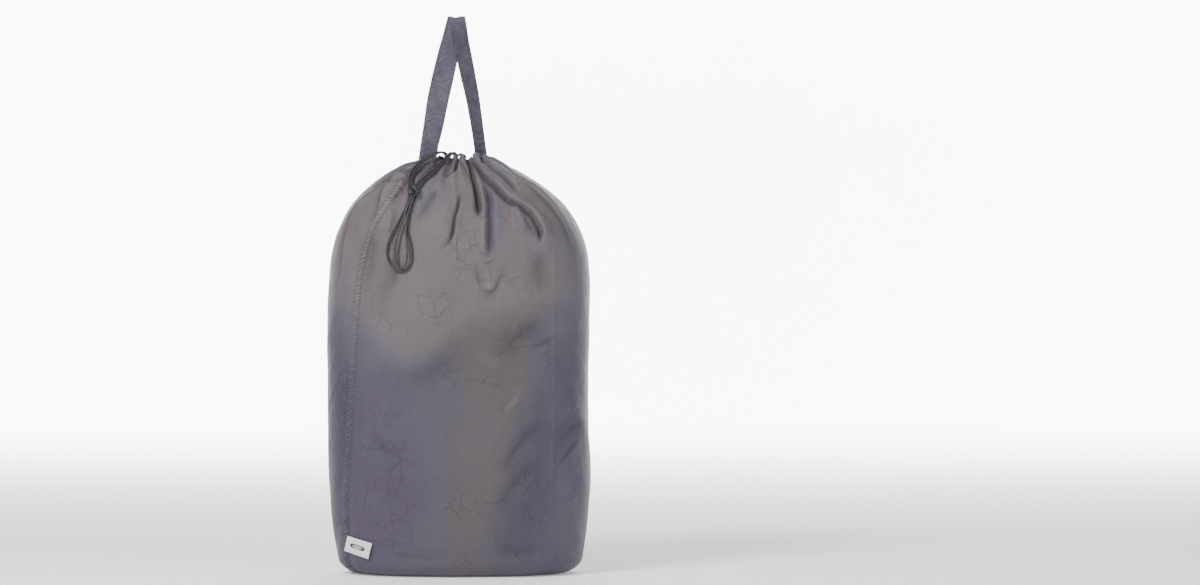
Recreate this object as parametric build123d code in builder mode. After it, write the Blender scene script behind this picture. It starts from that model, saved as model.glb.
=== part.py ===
"""A drawstring laundry bag of thin woven cloth, standing full, with its carrying strap up.

Millimetres. Z is up, the front of the bag faces -Y, and the origin is the middle of the flat base.
"""

from math import cos, pi, radians, sin, sqrt, tan
import os

from build123d import *

# Overall sizes of the full bag
HALF_WIDTH = 225.0          # half the left-to-right width of the body
HALF_DEPTH = 145.0          # half the front-to-back depth of the body
RIM_HEIGHT = 712.0          # top of the gathered mouth
SHOULDER_HEIGHT = 430.0     # where the straight sides start to close in
HANDLE_RISE = 246.0         # top fold of the strap above the rim

# Shape of the body
ROUNDNESS = 2.35            # exponent of the outline seen from above, 2 is an ellipse
OUTLINE_POINTS = 32
SHOULDER_CURVE = 3.55
SHOULDER_CLOSE = 1 / 1.35
BASE_TAPER = 20.0           # how far the sides draw in towards the base
BASE_TAPER_HEIGHT = 180.0
BASE_TAPER_CURVE = 1.6
BASE_ROUND = 26.0           # height of the rounded bottom edge
BASE_INSET = 35.0           # how far that edge goes in
DEPTH_SHARE = 0.85          # the base draws in less from front to back
RIM_SHIFT = -6.0            # the mouth is gathered a little to the left
RIM_SHIFT_START = 620.0

# Cloth, seams and thread
CLOTH = 2.0                 # stand-in wall of the cloth
# The side seams wind a little as they climb: height, and angle from the X axis seen from above
SEAM_TURNS = ((-1, 19.0), (110, 26.0), (300, 31.0), (500, 35.0), (620, 42.0), (713, 46.0))
FELL_WIDTH = 12.0           # folded width of a flat-felled seam
FELL_RISE = 1.0             # how proud it stands
FELL_INSET = 1.6            # stitch line to the edge of the fold
THREAD_WIDTH = 0.9
THREAD_RISE = 0.4
BASE_SEAM_SHARE = 0.9       # of the way from the middle of the base to its edge
SEAM_FOOT = 12.0            # lowest point of the outside seam ridges

# Mouth casing
RIM_HALF_WIDTH = 48.0
RIM_HALF_DEPTH = 34.0
CASING_FOOT = 700.0         # where the casing meets the panels
COLLAR_FOOT = 686.0         # lowest edge of the turned-in cloth
COLLAR_WALL = 15.0
MOUTH_LENGTH = 60.0
MOUTH_WIDTH = 30.0

# Drawstring
CORD_DIAMETER = 4.0
CHANNEL_CLEARANCE = 0.3
EXIT_CLEARANCE = 0.6
CHANNEL_HEIGHT = 704.0
CHANNEL_RADIUS = 24.0
CHANNEL_HALF_RUN = 15.0
EXIT_PITCH = 4.4            # between the two strands that share an exit
BIGHT_START = 2.6           # the bights start this far above the rim, clear of the casing
ARC_SHARE = 0.45            # share of a cord's shorter run that each arc takes up
LEFT_EXIT_X = -17.0
RIGHT_EXIT_X = -2.0
BUTTONHOLE_RIM = 1.4
BUTTONHOLE_RISE = 0.6
KNOT_CENTRE = (-70.0, -113.2, 654.0)
KNOT_AXIS = (-4.5, -13.0, -20.0)
KNOT_RADIUS = 10.0
KNOT_LENGTH = 17.0
KNOT_ROUND = 6.5

# Carrying strap
STRAP_THICKNESS = 2.4
STRAP_GAP = 0.4             # between the two legs where they cross at the top
STRAP_SEAT = 1.8            # hinge line above the sewn ends
END_RISE = 4.0              # sewn ends above the rim
END_DEPTH = 14.0
END_DROP = 6.0
STRAP_EDGE_INSET = 3.0
FOLD_HEIGHT = 5.0
FOLD_ROUND = 2.16
LEAN_SHARE = 0.55           # share of the rise by which the legs stand clear of each other
THREAD_STATIONS = 3         # the edge stitching ends below the crossing
STRAP_BASE = RIM_HEIGHT + END_RISE + STRAP_SEAT
# Each station of a leg: share of the rise, middle of the strap, width of the strap
LEFT_LEG = (
    (0.0, -49.5, 31.0), (0.36, -34.5, 38.0), (0.55, -25.5, 38.0), (0.82, -11.0, 36.0), (0.98, -3.5, 29.0),
)
RIGHT_LEG = (
    (0.0, 40.0, 22.0), (0.36, 27.5, 24.0), (0.55, 19.5, 26.0), (0.82, 6.5, 27.0), (0.98, -3.5, 29.0),
)

# Side label, which lies along the cloth from the left seam
LABEL_MIDDLE = (-165.0, 50.0)       # seen from the front: across and up
LABEL_LENGTH = 48.0
LABEL_HEIGHT = 27.5
LABEL_TILT = -13.8
LABEL_STAND_OFF = 0.5
LABEL_THICKNESS = 0.8
LABEL_STITCH_GAP = 0.5              # from the seam's fold to the edge of the label
MARK_LENGTH = 28.0
MARK_HEIGHT = 8.0
MARK_RISE = 0.2

SECTION_HEIGHTS = (0, 4, 12, 26, 60, 110, 180, 300, 430, 500, 560, 610, 650, 680, 697, 706, 712)

os.makedirs("parts", exist_ok=True)


def body_size(height, grow=0.0):
    """Half width and half depth of the body at a height, with the cloth grown outwards."""
    level = height - grow if height > SHOULDER_HEIGHT else height + grow
    level = max(level, 0.0)
    climb = min(1.0, max(0.0, (level - SHOULDER_HEIGHT) / (RIM_HEIGHT - SHOULDER_HEIGHT)))
    close = (1 - climb**SHOULDER_CURVE) ** SHOULDER_CLOSE
    taper = BASE_TAPER * max(0.0, 1 - level / BASE_TAPER_HEIGHT) ** BASE_TAPER_CURVE
    edge = max(0.0, 1 - level / BASE_ROUND)
    inset = taper + BASE_INSET * (1 - sqrt(1 - edge**2))
    half_width = RIM_HALF_WIDTH + (HALF_WIDTH - RIM_HALF_WIDTH) * close - inset + grow
    half_depth = RIM_HALF_DEPTH + (HALF_DEPTH - RIM_HALF_DEPTH) * close - DEPTH_SHARE * inset + grow
    return half_width, half_depth


def body_middle(height):
    """How far the middle of the bag has moved to the side at a height."""
    return RIM_SHIFT * min(1.0, max(0.0, (height - RIM_SHIFT_START) / (CASING_FOOT - RIM_SHIFT_START)))


def outline(height, grow):
    """Points round the body at a height."""
    half_width, half_depth = body_size(height, grow)
    power = 2 / ROUNDNESS
    points = []
    for step in range(OUTLINE_POINTS):
        angle = 2 * pi * (step + 0.5) / OUTLINE_POINTS
        across, along = cos(angle), sin(angle)
        x = body_middle(height) + half_width * abs(across) ** power * (1 if across > 0 else -1)
        y = half_depth * abs(along) ** power * (1 if along > 0 else -1)
        points.append((x, y))
    return points


def body_solid(grow, low, high):
    """The filled body between two heights, with the cloth grown outwards."""
    heights = [low] + [level for level in SECTION_HEIGHTS if low < level < high] + [high]
    with BuildPart() as body:
        for height in heights:
            with BuildSketch(Plane.XY.offset(height)):
                with BuildLine():
                    Spline(*outline(height, grow), periodic=True)
                make_face()
        loft()
    return body.part


def route_path(route):
    """Straight runs joined by tangent arcs, each as large as its two runs allow."""
    points = [Vector(*point) for point in route]
    radii = []
    for before, corner, after in zip(points, points[1:], points[2:]):
        turn = radians((corner - before).get_angle(after - corner))
        run = min((corner - before).length, (after - corner).length)
        radii.append(ARC_SHARE * run / tan(turn / 2))
    return FilletPolyline(*points, radius=radii), radii


def strap_strip(stations, lean, across, width, thickness, forward=0.0):
    """A strip that runs up one leg of the strap, leaning back as it nears the crossing at the top.

    across is the strip's own place on the strap, from -1 at its left edge to 1 at its right edge,
    and width is the strip's width, or None for the whole strap.
    """
    rise = RIM_HEIGHT + HANDLE_RISE - STRAP_BASE
    with BuildPart() as strip:
        for share, middle, strap_width in stations:
            x = middle + across * (strap_width / 2 - STRAP_EDGE_INSET)
            y = lean * min(1.0, share / LEAN_SHARE) - forward
            with BuildSketch(Plane.XY.offset(STRAP_BASE + share * rise)):
                with Locations((x, y)):
                    Rectangle(width or strap_width, thickness)
        loft(ruled=True)
    return strip.part


def seam_block(start, end, near, far):
    """A block that winds with the side seams.

    start and end are places along the seam's line from the middle of the bag, and near and far are
    distances behind it.
    """
    with BuildPart() as block:
        for height, turn in SEAM_TURNS:
            along = (cos(radians(turn)), sin(radians(turn)), 0)
            with BuildSketch(Plane(origin=(0, 0, height), x_dir=along, z_dir=(0, 0, 1))):
                with Locations(((start + end) / 2, (near + far) / 2)):
                    Rectangle(end - start, far - near)
        loft()
    return block.part


# The body: one front and one back panel, sewn together along the two side seams
REACH = HALF_WIDTH + 50             # past the sides of the bag
front_half = seam_block(-REACH, REACH, -REACH, 0)
outer_body = body_solid(0.0, 0.0, RIM_HEIGHT)
inner_body = body_solid(-CLOTH, CLOTH, RIM_HEIGHT)
fell_body = body_solid(FELL_RISE, 0.0, RIM_HEIGHT)
thread_body = body_solid(FELL_RISE + THREAD_RISE, 0.0, RIM_HEIGHT)

with BuildPart() as cloth:
    add(outer_body)
    add(inner_body, mode=Mode.SUBTRACT)
    split(bisect_by=Plane.XY.offset(CASING_FOOT), keep=Keep.BOTTOM)

with BuildPart() as front_panel:
    add(cloth.part)
    add(front_half, mode=Mode.INTERSECT)
front_panel.part.label = "front_panel"
export_step(front_panel.part, "parts/front_panel.step")

with BuildPart() as back_panel:
    add(cloth.part)
    add(front_half, mode=Mode.SUBTRACT)
back_panel.part.label = "back_panel"
export_step(back_panel.part, "parts/back_panel.step")

# The folds of the felled side seams, with two rows of stitching each
with BuildPart() as fell_layer:
    add(fell_body)
    add(outer_body, mode=Mode.SUBTRACT)
    split(bisect_by=Plane.XY.offset(CASING_FOOT), keep=Keep.BOTTOM)
    split(bisect_by=Plane.XY.offset(SEAM_FOOT), keep=Keep.TOP)

with BuildPart() as thread_layer:
    add(thread_body)
    add(fell_body, mode=Mode.SUBTRACT)
    split(bisect_by=Plane.XY.offset(CASING_FOOT), keep=Keep.BOTTOM)
    split(bisect_by=Plane.XY.offset(SEAM_FOOT), keep=Keep.TOP)

for side, name in ((-1, "left"), (1, "right")):
    start, end = sorted((0, side * REACH))
    near = 0.0 if side < 0 else -FELL_WIDTH     # each fold lies to the left of its seam, seen from outside
    with BuildPart() as felled_seam:
        add(fell_layer.part)
        add(seam_block(start, end, near, near + FELL_WIDTH), mode=Mode.INTERSECT)
    felled_seam.part.label = f"{name}_felled_seam"
    export_step(felled_seam.part, f"parts/{name}_felled_seam.step")

    first_row = near + FELL_INSET
    last_row = near + FELL_WIDTH - FELL_INSET - THREAD_WIDTH
    rows = [seam_block(start, end, row, row + THREAD_WIDTH) for row in (first_row, last_row)]
    with BuildPart() as seam_thread:
        add(thread_layer.part)
        add(rows, mode=Mode.INTERSECT)
    seam_thread.part.label = f"{name}_seam_thread"
    export_step(seam_thread.part, f"parts/{name}_seam_thread.step")

# The bottom seam lies inside, on the cloth of the base
base_half_width, base_half_depth = body_size(CLOTH, -CLOTH)
base_turn = radians(SEAM_TURNS[0][1])
base_across, base_along = cos(base_turn), sin(base_turn)
bottom_plane = Plane(origin=(0, 0, CLOTH), x_dir=(base_across, base_along, 0))
bottom_half = BASE_SEAM_SHARE / sqrt((base_across / base_half_width) ** 2 + (base_along / base_half_depth) ** 2)

with BuildPart() as bottom_felled_seam:
    with BuildSketch(bottom_plane):
        Rectangle(2 * bottom_half, FELL_WIDTH)
    extrude(amount=FELL_RISE)
bottom_felled_seam.part.label = "bottom_felled_seam"
export_step(bottom_felled_seam.part, "parts/bottom_felled_seam.step")

with BuildPart() as bottom_seam_thread:
    with BuildSketch(bottom_plane.offset(FELL_RISE)):
        with GridLocations(1, FELL_WIDTH - 2 * FELL_INSET, 1, 2):
            Rectangle(2 * bottom_half, THREAD_WIDTH)
    extrude(amount=THREAD_RISE)
bottom_seam_thread.part.label = "bottom_seam_thread"
export_step(bottom_seam_thread.part, "parts/bottom_seam_thread.step")

# The gathered casing round the mouth, with the channel that the cord runs in
rim_plane = Plane(origin=(RIM_SHIFT, 0, 0))
CHANNEL_DIAMETER = CORD_DIAMETER + 2 * CHANNEL_CLEARANCE
EXIT_WIDTH = CORD_DIAMETER + 2 * EXIT_CLEARANCE
EXIT_LENGTH = EXIT_PITCH + EXIT_WIDTH


def channel_ring(diameter):
    """A round tube along the whole cord channel."""
    with BuildPart() as ring:
        with BuildLine(rim_plane.offset(CHANNEL_HEIGHT)) as path:
            Line((-CHANNEL_HALF_RUN, -CHANNEL_RADIUS), (CHANNEL_HALF_RUN, -CHANNEL_RADIUS))
            CenterArc((CHANNEL_HALF_RUN, 0), CHANNEL_RADIUS, -90, 180)
            Line((CHANNEL_HALF_RUN, CHANNEL_RADIUS), (-CHANNEL_HALF_RUN, CHANNEL_RADIUS))
            CenterArc((-CHANNEL_HALF_RUN, 0), CHANNEL_RADIUS, 90, 180)
        loop = path.wires()[0]
        with BuildSketch(Plane(origin=loop @ 0, z_dir=loop % 0)):
            Circle(diameter / 2)
        sweep(path=loop)
    return ring.part


channel = channel_ring(CHANNEL_DIAMETER)

with BuildPart() as casing:
    add(outer_body)
    split(bisect_by=Plane.XY.offset(CASING_FOOT), keep=Keep.TOP)
    with BuildSketch(rim_plane.offset(COLLAR_FOOT)):
        SlotOverall(MOUTH_LENGTH + 2 * COLLAR_WALL, MOUTH_WIDTH + 2 * COLLAR_WALL)
    extrude(amount=CASING_FOOT - COLLAR_FOOT)
    with BuildSketch(rim_plane.offset(COLLAR_FOOT)):
        SlotOverall(MOUTH_LENGTH, MOUTH_WIDTH)
    extrude(amount=RIM_HEIGHT - COLLAR_FOOT, mode=Mode.SUBTRACT)
    add(channel, mode=Mode.SUBTRACT)
    for exit_x in (LEFT_EXIT_X, RIGHT_EXIT_X):
        with BuildSketch(Plane.XY.offset(CHANNEL_HEIGHT)):
            with Locations((exit_x, -CHANNEL_RADIUS)):
                SlotOverall(EXIT_LENGTH, EXIT_WIDTH)
        extrude(amount=RIM_HEIGHT - CHANNEL_HEIGHT, mode=Mode.SUBTRACT)

with BuildPart() as front_casing:
    add(casing.part)
    add(front_half, mode=Mode.INTERSECT)
front_casing.part.label = "front_casing"
export_step(front_casing.part, "parts/front_casing.step")

with BuildPart() as back_casing:
    add(casing.part)
    add(front_half, mode=Mode.SUBTRACT)
back_casing.part.label = "back_casing"
export_step(back_casing.part, "parts/back_casing.step")

# The line of stitching that closes the casing, round the outside just above the panels
with BuildPart() as casing_thread:
    add(body_solid(THREAD_RISE, CASING_FOOT, RIM_HEIGHT))
    add(outer_body, mode=Mode.SUBTRACT)
    split(bisect_by=Plane.XY.offset(CASING_FOOT + 2 * THREAD_WIDTH), keep=Keep.BOTTOM)
casing_thread.part.label = "casing_thread"
export_step(casing_thread.part, "parts/casing_thread.step")

for exit_x, name in ((LEFT_EXIT_X, "left"), (RIGHT_EXIT_X, "right")):
    with BuildPart() as buttonhole:
        with BuildSketch(Plane.XY.offset(RIM_HEIGHT)):
            with Locations((exit_x, -CHANNEL_RADIUS)):
                SlotOverall(EXIT_LENGTH + 2 * BUTTONHOLE_RIM, EXIT_WIDTH + 2 * BUTTONHOLE_RIM)
                SlotOverall(EXIT_LENGTH, EXIT_WIDTH, mode=Mode.SUBTRACT)
        extrude(amount=BUTTONHOLE_RISE)
    buttonhole.part.label = f"{name}_buttonhole"
    export_step(buttonhole.part, f"parts/{name}_buttonhole.step")

# The stretch of the drawstring inside the casing, with its four strands up to the exits
with BuildPart() as casing_cord:
    add(channel_ring(CORD_DIAMETER))
    for exit_x in (LEFT_EXIT_X, RIGHT_EXIT_X):
        with BuildSketch(Plane.XY.offset(CHANNEL_HEIGHT)):
            with Locations((exit_x, -CHANNEL_RADIUS)):
                with GridLocations(EXIT_PITCH, 1, 2, 1):
                    Circle(CORD_DIAMETER / 2)
        extrude(amount=RIM_HEIGHT - CHANNEL_HEIGHT)
casing_cord.part.label = "casing_cord"
export_step(casing_cord.part, "parts/casing_cord.step")

# The two pulled-out bights of the drawstring, chosen point by point from exit to exit.
# Each goes over the rim, down through the knot, round its hanging loop and back.
EXIT_TOP = RIM_HEIGHT + BIGHT_START
LEFT_BIGHT = (
    (LEFT_EXIT_X - EXIT_PITCH / 2, -CHANNEL_RADIUS, EXIT_TOP),
    (-20.2, -27.6, 720.0),
    (-27.0, -34.6, 723.8),
    (-41.2, -42.0, 719.6),
    (-56.6, -47.6, 710.4),
    (-69.2, -60.2, 698.6),
    (-77.6, -75.6, 685.2),
    (-79.2, -88.6, 673.2),
    (-77.6, -101.6, 661.6),
    (-77.6, -113.4, 643.6),
    (-81.4, -118.6, 628.0),
    (-89.6, -123.0, 611.0),
    (-97.6, -126.2, 595.6),
    (-107.4, -128.0, 577.6),
    (-113.4, -129.9, 560.0),
    (-113.8, -132.3, 542.4),
    (-107.2, -135.6, 527.4),
    (-95.2, -138.9, 518.4),
    (-82.2, -141.4, 518.6),
    (-73.4, -142.1, 529.4),
    (-71.0, -140.6, 547.4),
    (-73.6, -137.5, 566.0),
    (-79.0, -133.0, 584.4),
    (-81.4, -127.2, 603.4),
    (-77.4, -119.8, 625.4),
    (-73.0, -113.4, 644.0),
    (-71.2, -101.6, 662.4),
    (-74.8, -89.8, 673.2),
    (-73.2, -77.4, 684.8),
    (-65.2, -63.4, 697.8),
    (-53.4, -50.8, 709.4),
    (-38.4, -45.6, 718.4),
    (-24.6, -37.6, 723.2),
    (-16.6, -29.0, 720.4),
    (LEFT_EXIT_X + EXIT_PITCH / 2, -CHANNEL_RADIUS, EXIT_TOP),
)
RIGHT_BIGHT = (
    (RIGHT_EXIT_X - EXIT_PITCH / 2, -CHANNEL_RADIUS, EXIT_TOP),
    (-5.2, -27.6, 720.2),
    (-10.4, -35.2, 722.4),
    (-18.0, -49.4, 713.0),
    (-30.2, -68.6, 699.0),
    (-44.8, -83.2, 685.4),
    (-57.2, -94.4, 674.4),
    (-66.4, -106.2, 663.0),
    (-73.8, -118.9, 643.4),
    (-79.6, -124.1, 626.0),
    (-86.6, -130.0, 606.6),
    (-93.0, -134.1, 588.0),
    (-98.4, -136.8, 569.6),
    (-100.0, -139.5, 551.0),
    (-98.8, -141.7, 538.2),
    (-96.6, -142.9, 529.0),
    (-91.4, -144.1, 523.2),
    (-85.0, -145.1, 524.0),
    (-80.4, -145.5, 531.0),
    (-78.6, -145.1, 541.4),
    (-78.2, -143.6, 553.6),
    (-79.4, -141.2, 567.4),
    (-82.2, -136.9, 586.4),
    (-80.6, -131.2, 606.0),
    (-75.2, -124.9, 625.6),
    (-69.4, -118.9, 643.6),
    (-62.2, -106.4, 664.0),
    (-53.2, -96.6, 673.0),
    (-41.2, -85.8, 683.6),
    (-26.0, -70.6, 698.0),
    (-13.8, -51.2, 712.4),
    (-5.8, -37.0, 722.2),
    (-1.0, -29.0, 720.8),
    (RIGHT_EXIT_X + EXIT_PITCH / 2, -CHANNEL_RADIUS, EXIT_TOP),
)

for route, name in ((LEFT_BIGHT, "left_bight"), (RIGHT_BIGHT, "right_bight")):
    with BuildPart() as bight:
        with BuildLine():
            path, radii = route_path(route)
        with BuildSketch(Plane(origin=path @ 0, z_dir=path % 0)):
            Circle(CORD_DIAMETER / 2)
        sweep(path=path)
    filled = bight.part.volume / (pi * CORD_DIAMETER**2 / 4 * path.length)
    print(f"{name}: length {path.length:.1f}, volume / (section x length) {filled:.4f}")
    print("  radii", " ".join(f"{radius:.1f}" for radius in radii))
    bight.part.label = name
    export_step(bight.part, f"parts/{name}.step")

# The overhand knot that ties all four strands together
with BuildPart(Plane(origin=KNOT_CENTRE, z_dir=KNOT_AXIS)) as drawstring_knot:
    Cylinder(KNOT_RADIUS, KNOT_LENGTH)
    fillet(drawstring_knot.edges().filter_by(GeomType.CIRCLE), KNOT_ROUND)
drawstring_knot.part.label = "drawstring_knot"
export_step(drawstring_knot.part, "parts/drawstring_knot.step")

# The carrying strap: two legs that cross at a folded top
LEG_LEAN = (STRAP_THICKNESS + STRAP_GAP) / 2

with BuildPart() as handle_strap:
    add(strap_strip(LEFT_LEG, LEG_LEAN, 0, None, STRAP_THICKNESS))
    add(strap_strip(RIGHT_LEG, -LEG_LEAN, 0, None, STRAP_THICKNESS))
    top_middle, top_width = LEFT_LEG[-1][1:]
    with BuildSketch(Plane.YZ.offset(top_middle - top_width / 2)):
        with Locations((0, RIM_HEIGHT + HANDLE_RISE)):
            Rectangle(2 * STRAP_THICKNESS + STRAP_GAP, FOLD_HEIGHT, align=(Align.CENTER, Align.MAX))
    extrude(amount=top_width)
    fillet(handle_strap.edges().filter_by(Axis.X).group_by(Axis.Z)[-1], FOLD_ROUND)
handle_strap.part.label = "handle_strap"
export_step(handle_strap.part, "parts/handle_strap.step")

with BuildPart() as handle_thread:
    for stations, lean in ((LEFT_LEG, LEG_LEAN), (RIGHT_LEG, -LEG_LEAN)):
        for across in (-1, 1):
            forward = (STRAP_THICKNESS + THREAD_RISE) / 2
            add(strap_strip(stations[:THREAD_STATIONS], lean, across, THREAD_WIDTH, THREAD_RISE, forward))
handle_thread.part.label = "handle_thread"
export_step(handle_thread.part, "parts/handle_thread.step")

# The sewn ends of the strap on the rim, and their stitching
for stations, name in ((LEFT_LEG, "left"), (RIGHT_LEG, "right")):
    middle, width = stations[0][1:]
    with BuildPart() as strap_end:
        with BuildSketch(Plane.XY.offset(RIM_HEIGHT - END_DROP)):
            with Locations((middle, 0)):
                Rectangle(width, END_DEPTH)
        extrude(amount=END_DROP + END_RISE)
        add(outer_body, mode=Mode.SUBTRACT)
    strap_end.part.label = f"{name}_strap_end"
    export_step(strap_end.part, f"parts/{name}_strap_end.step")

    with BuildPart() as end_thread:
        with BuildSketch(Plane.XZ.offset(END_DEPTH / 2)):
            with Locations((middle, RIM_HEIGHT + END_RISE / 2)):
                with GridLocations(1, END_RISE / 2, 1, 2):
                    Rectangle(width - 2 * STRAP_EDGE_INSET, THREAD_WIDTH)
        extrude(amount=THREAD_RISE)
    end_thread.part.label = f"{name}_end_thread"
    export_step(end_thread.part, f"parts/{name}_end_thread.step")

# The woven side label, caught in the left seam, with a plain woven mark
label_inner = body_solid(LABEL_STAND_OFF, 0.0, RIM_HEIGHT)
label_outer = body_solid(LABEL_STAND_OFF + LABEL_THICKNESS, 0.0, RIM_HEIGHT)
mark_outer = body_solid(LABEL_STAND_OFF + LABEL_THICKNESS + MARK_RISE, 0.0, RIM_HEIGHT)
label_front = seam_block(-REACH, REACH, -REACH, -LABEL_STITCH_GAP)
label_along = (cos(radians(LABEL_TILT)), 0, sin(radians(LABEL_TILT)))
label_view = Plane(origin=(LABEL_MIDDLE[0], 0, LABEL_MIDDLE[1]), x_dir=label_along, z_dir=(0, -1, 0))

with BuildPart() as side_label:
    add(label_outer)
    add(label_inner, mode=Mode.SUBTRACT)
    with BuildSketch(label_view):
        with Locations((LABEL_LENGTH / 2, 0)):      # its left end runs on into the seam, which trims it
            Rectangle(1.5 * LABEL_LENGTH, LABEL_HEIGHT, align=(Align.MAX, Align.CENTER))
    extrude(amount=REACH, mode=Mode.INTERSECT)
    add(label_front, mode=Mode.INTERSECT)
side_label.part.label = "side_label"
export_step(side_label.part, "parts/side_label.step")

with BuildPart() as label_mark:
    add(mark_outer)
    add(label_outer, mode=Mode.SUBTRACT)
    with BuildSketch(label_view):
        SlotOverall(MARK_LENGTH, MARK_HEIGHT)
        SlotOverall(MARK_LENGTH - MARK_HEIGHT / 2, MARK_HEIGHT / 2, mode=Mode.SUBTRACT)
    extrude(amount=REACH, mode=Mode.INTERSECT)
label_mark.part.label = "label_mark"
export_step(label_mark.part, "parts/label_mark.step")
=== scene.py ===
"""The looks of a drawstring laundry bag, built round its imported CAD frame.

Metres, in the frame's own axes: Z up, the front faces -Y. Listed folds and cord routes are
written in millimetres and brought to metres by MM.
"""

from __future__ import annotations

import logging
import math
from dataclasses import dataclass, field
from enum import Enum

import bpy
import numpy as np
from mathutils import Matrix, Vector

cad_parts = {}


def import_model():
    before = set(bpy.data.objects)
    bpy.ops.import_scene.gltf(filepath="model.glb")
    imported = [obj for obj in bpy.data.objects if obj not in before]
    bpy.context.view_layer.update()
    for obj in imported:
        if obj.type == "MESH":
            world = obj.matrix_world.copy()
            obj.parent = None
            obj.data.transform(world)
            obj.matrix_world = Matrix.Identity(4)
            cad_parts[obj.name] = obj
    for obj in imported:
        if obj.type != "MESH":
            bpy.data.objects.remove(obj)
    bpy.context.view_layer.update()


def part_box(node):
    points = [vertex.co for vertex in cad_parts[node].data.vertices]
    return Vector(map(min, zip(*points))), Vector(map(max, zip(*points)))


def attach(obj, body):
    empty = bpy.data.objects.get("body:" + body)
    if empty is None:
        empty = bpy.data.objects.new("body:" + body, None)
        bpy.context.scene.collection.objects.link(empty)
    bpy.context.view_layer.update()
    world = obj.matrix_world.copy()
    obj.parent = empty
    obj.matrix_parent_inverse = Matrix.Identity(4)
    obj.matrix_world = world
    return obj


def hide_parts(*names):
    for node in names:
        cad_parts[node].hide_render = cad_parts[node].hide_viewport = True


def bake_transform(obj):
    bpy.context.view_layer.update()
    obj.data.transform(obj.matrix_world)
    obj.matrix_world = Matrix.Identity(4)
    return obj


MM = 0.001
LOG = logging.getLogger("laundry_bag")


# ---------------------------------------------------------------- small helpers


def linear(code: str) -> tuple[float, float, float, float]:
    """Turn an sRGB hex colour into linear values.

    Args:
        code: six hex digits, with or without a leading #.

    Returns:
        Linear red, green, blue and an alpha of 1.
    """
    digits = code.lstrip("#")
    channels = [int(digits[i : i + 2], 16) / 255 for i in (0, 2, 4)]
    steps = [c / 12.92 if c <= 0.04045 else ((c + 0.055) / 1.055) ** 2.4 for c in channels]
    return (steps[0], steps[1], steps[2], 1.0)


def add_node(
    tree: bpy.types.NodeTree, kind: str, settings: dict[str, object] | None = None, **inputs: object
) -> bpy.types.Node:
    """Add one shader node.

    Args:
        tree: the material's node tree.
        kind: the node's type name without its ShaderNode prefix.
        settings: the node's own properties.
        **inputs: values or output sockets for its inputs; spaces in a name are written as _, and i0,
            i1 and so on stand for an input's place where names repeat.

    Returns:
        The new node.
    """
    node = tree.nodes.new("ShaderNode" + kind)
    for name, value in (settings or {}).items():
        setattr(node, name, value)
    for name, value in inputs.items():
        numbered = name[0] == "i" and name[1:].isdigit()
        socket = node.inputs[int(name[1:]) if numbered else name.replace("_", " ")]
        if isinstance(value, bpy.types.NodeSocket):
            tree.links.new(value, socket)
        else:
            socket.default_value = value
    return node


def smoothstep(value: np.ndarray) -> np.ndarray:
    """Ease from 0 to 1 as value goes from 0 to 1."""
    t = np.clip(value, 0.0, 1.0)
    return t * t * (3 - 2 * t)


def dress(piece: bpy.types.Object, body: str, node: str) -> None:
    """Hang a finished piece on a body, in place of its node.

    Args:
        piece: the mesh object.
        body: the body that it moves with.
        node: the node that it replaces.
    """
    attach(piece, body)
    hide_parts(node)


def new_material(name: str) -> tuple[bpy.types.Material, bpy.types.NodeTree, bpy.types.Node]:
    """Start a material.

    Args:
        name: the material's name.

    Returns:
        The material, its node tree and its surface shader.
    """
    material = bpy.data.materials.new(name)
    material.use_nodes = True
    return material, material.node_tree, material.node_tree.nodes["Principled BSDF"]


def soft_noise(u: np.ndarray, v: np.ndarray, seed: int) -> np.ndarray:
    """Smooth random heights on a plane.

    Args:
        u: first coordinate, one unit to a lump.
        v: second coordinate, one unit to a lump.
        seed: which pattern.

    Returns:
        Values from about -1 to 1, shaped like u.
    """
    size = 256
    table = np.random.default_rng(seed).uniform(-1, 1, (size, size))
    u0, v0 = np.floor(u).astype(int), np.floor(v).astype(int)
    fu, fv = smoothstep(u - u0), smoothstep(v - v0)
    a = table[u0 % size, v0 % size]
    b = table[(u0 + 1) % size, v0 % size]
    c = table[u0 % size, (v0 + 1) % size]
    d = table[(u0 + 1) % size, (v0 + 1) % size]
    return (a * (1 - fu) + b * fu) * (1 - fv) + (c * (1 - fu) + d * fu) * fv


def smooth_line(points: np.ndarray, per_run: int = 8) -> np.ndarray:
    """A smooth line through hand-placed points, as a Catmull-Rom spline.

    Args:
        points: rows of coordinates.
        per_run: steps between two points.

    Returns:
        The points of the smooth line.
    """
    padded = np.vstack([2 * points[0] - points[1], points, 2 * points[-1] - points[-2]])
    line = []
    for i in range(1, len(padded) - 2):
        p0, p1, p2, p3 = padded[i - 1 : i + 3]
        for t in np.linspace(0, 1, per_run, endpoint=False):
            square = (2 * p0 - 5 * p1 + 4 * p2 - p3) * t**2
            cube = (3 * p1 - p0 - 3 * p2 + p3) * t**3
            line.append(0.5 * (2 * p1 + (p2 - p0) * t + square + cube))
    line.append(padded[-2])
    return np.array(line)


def mesh_piece(
    name: str, points: np.ndarray, faces: list | np.ndarray, material: bpy.types.Material
) -> bpy.types.Object:
    """Make a smooth-shaded mesh object.

    Args:
        name: the piece's name.
        points: rows of coordinates in metres.
        faces: index tuples.
        material: its finish.

    Returns:
        The new object, linked to the scene.
    """
    mesh = bpy.data.meshes.new(name)
    mesh.from_pydata(np.asarray(points, float).tolist(), [], np.asarray(faces, dtype=object).tolist())
    mesh.validate()
    mesh.shade_smooth()
    mesh.materials.append(material)
    piece = bpy.data.objects.new(name, mesh)
    bpy.context.scene.collection.objects.link(piece)
    return piece


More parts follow.
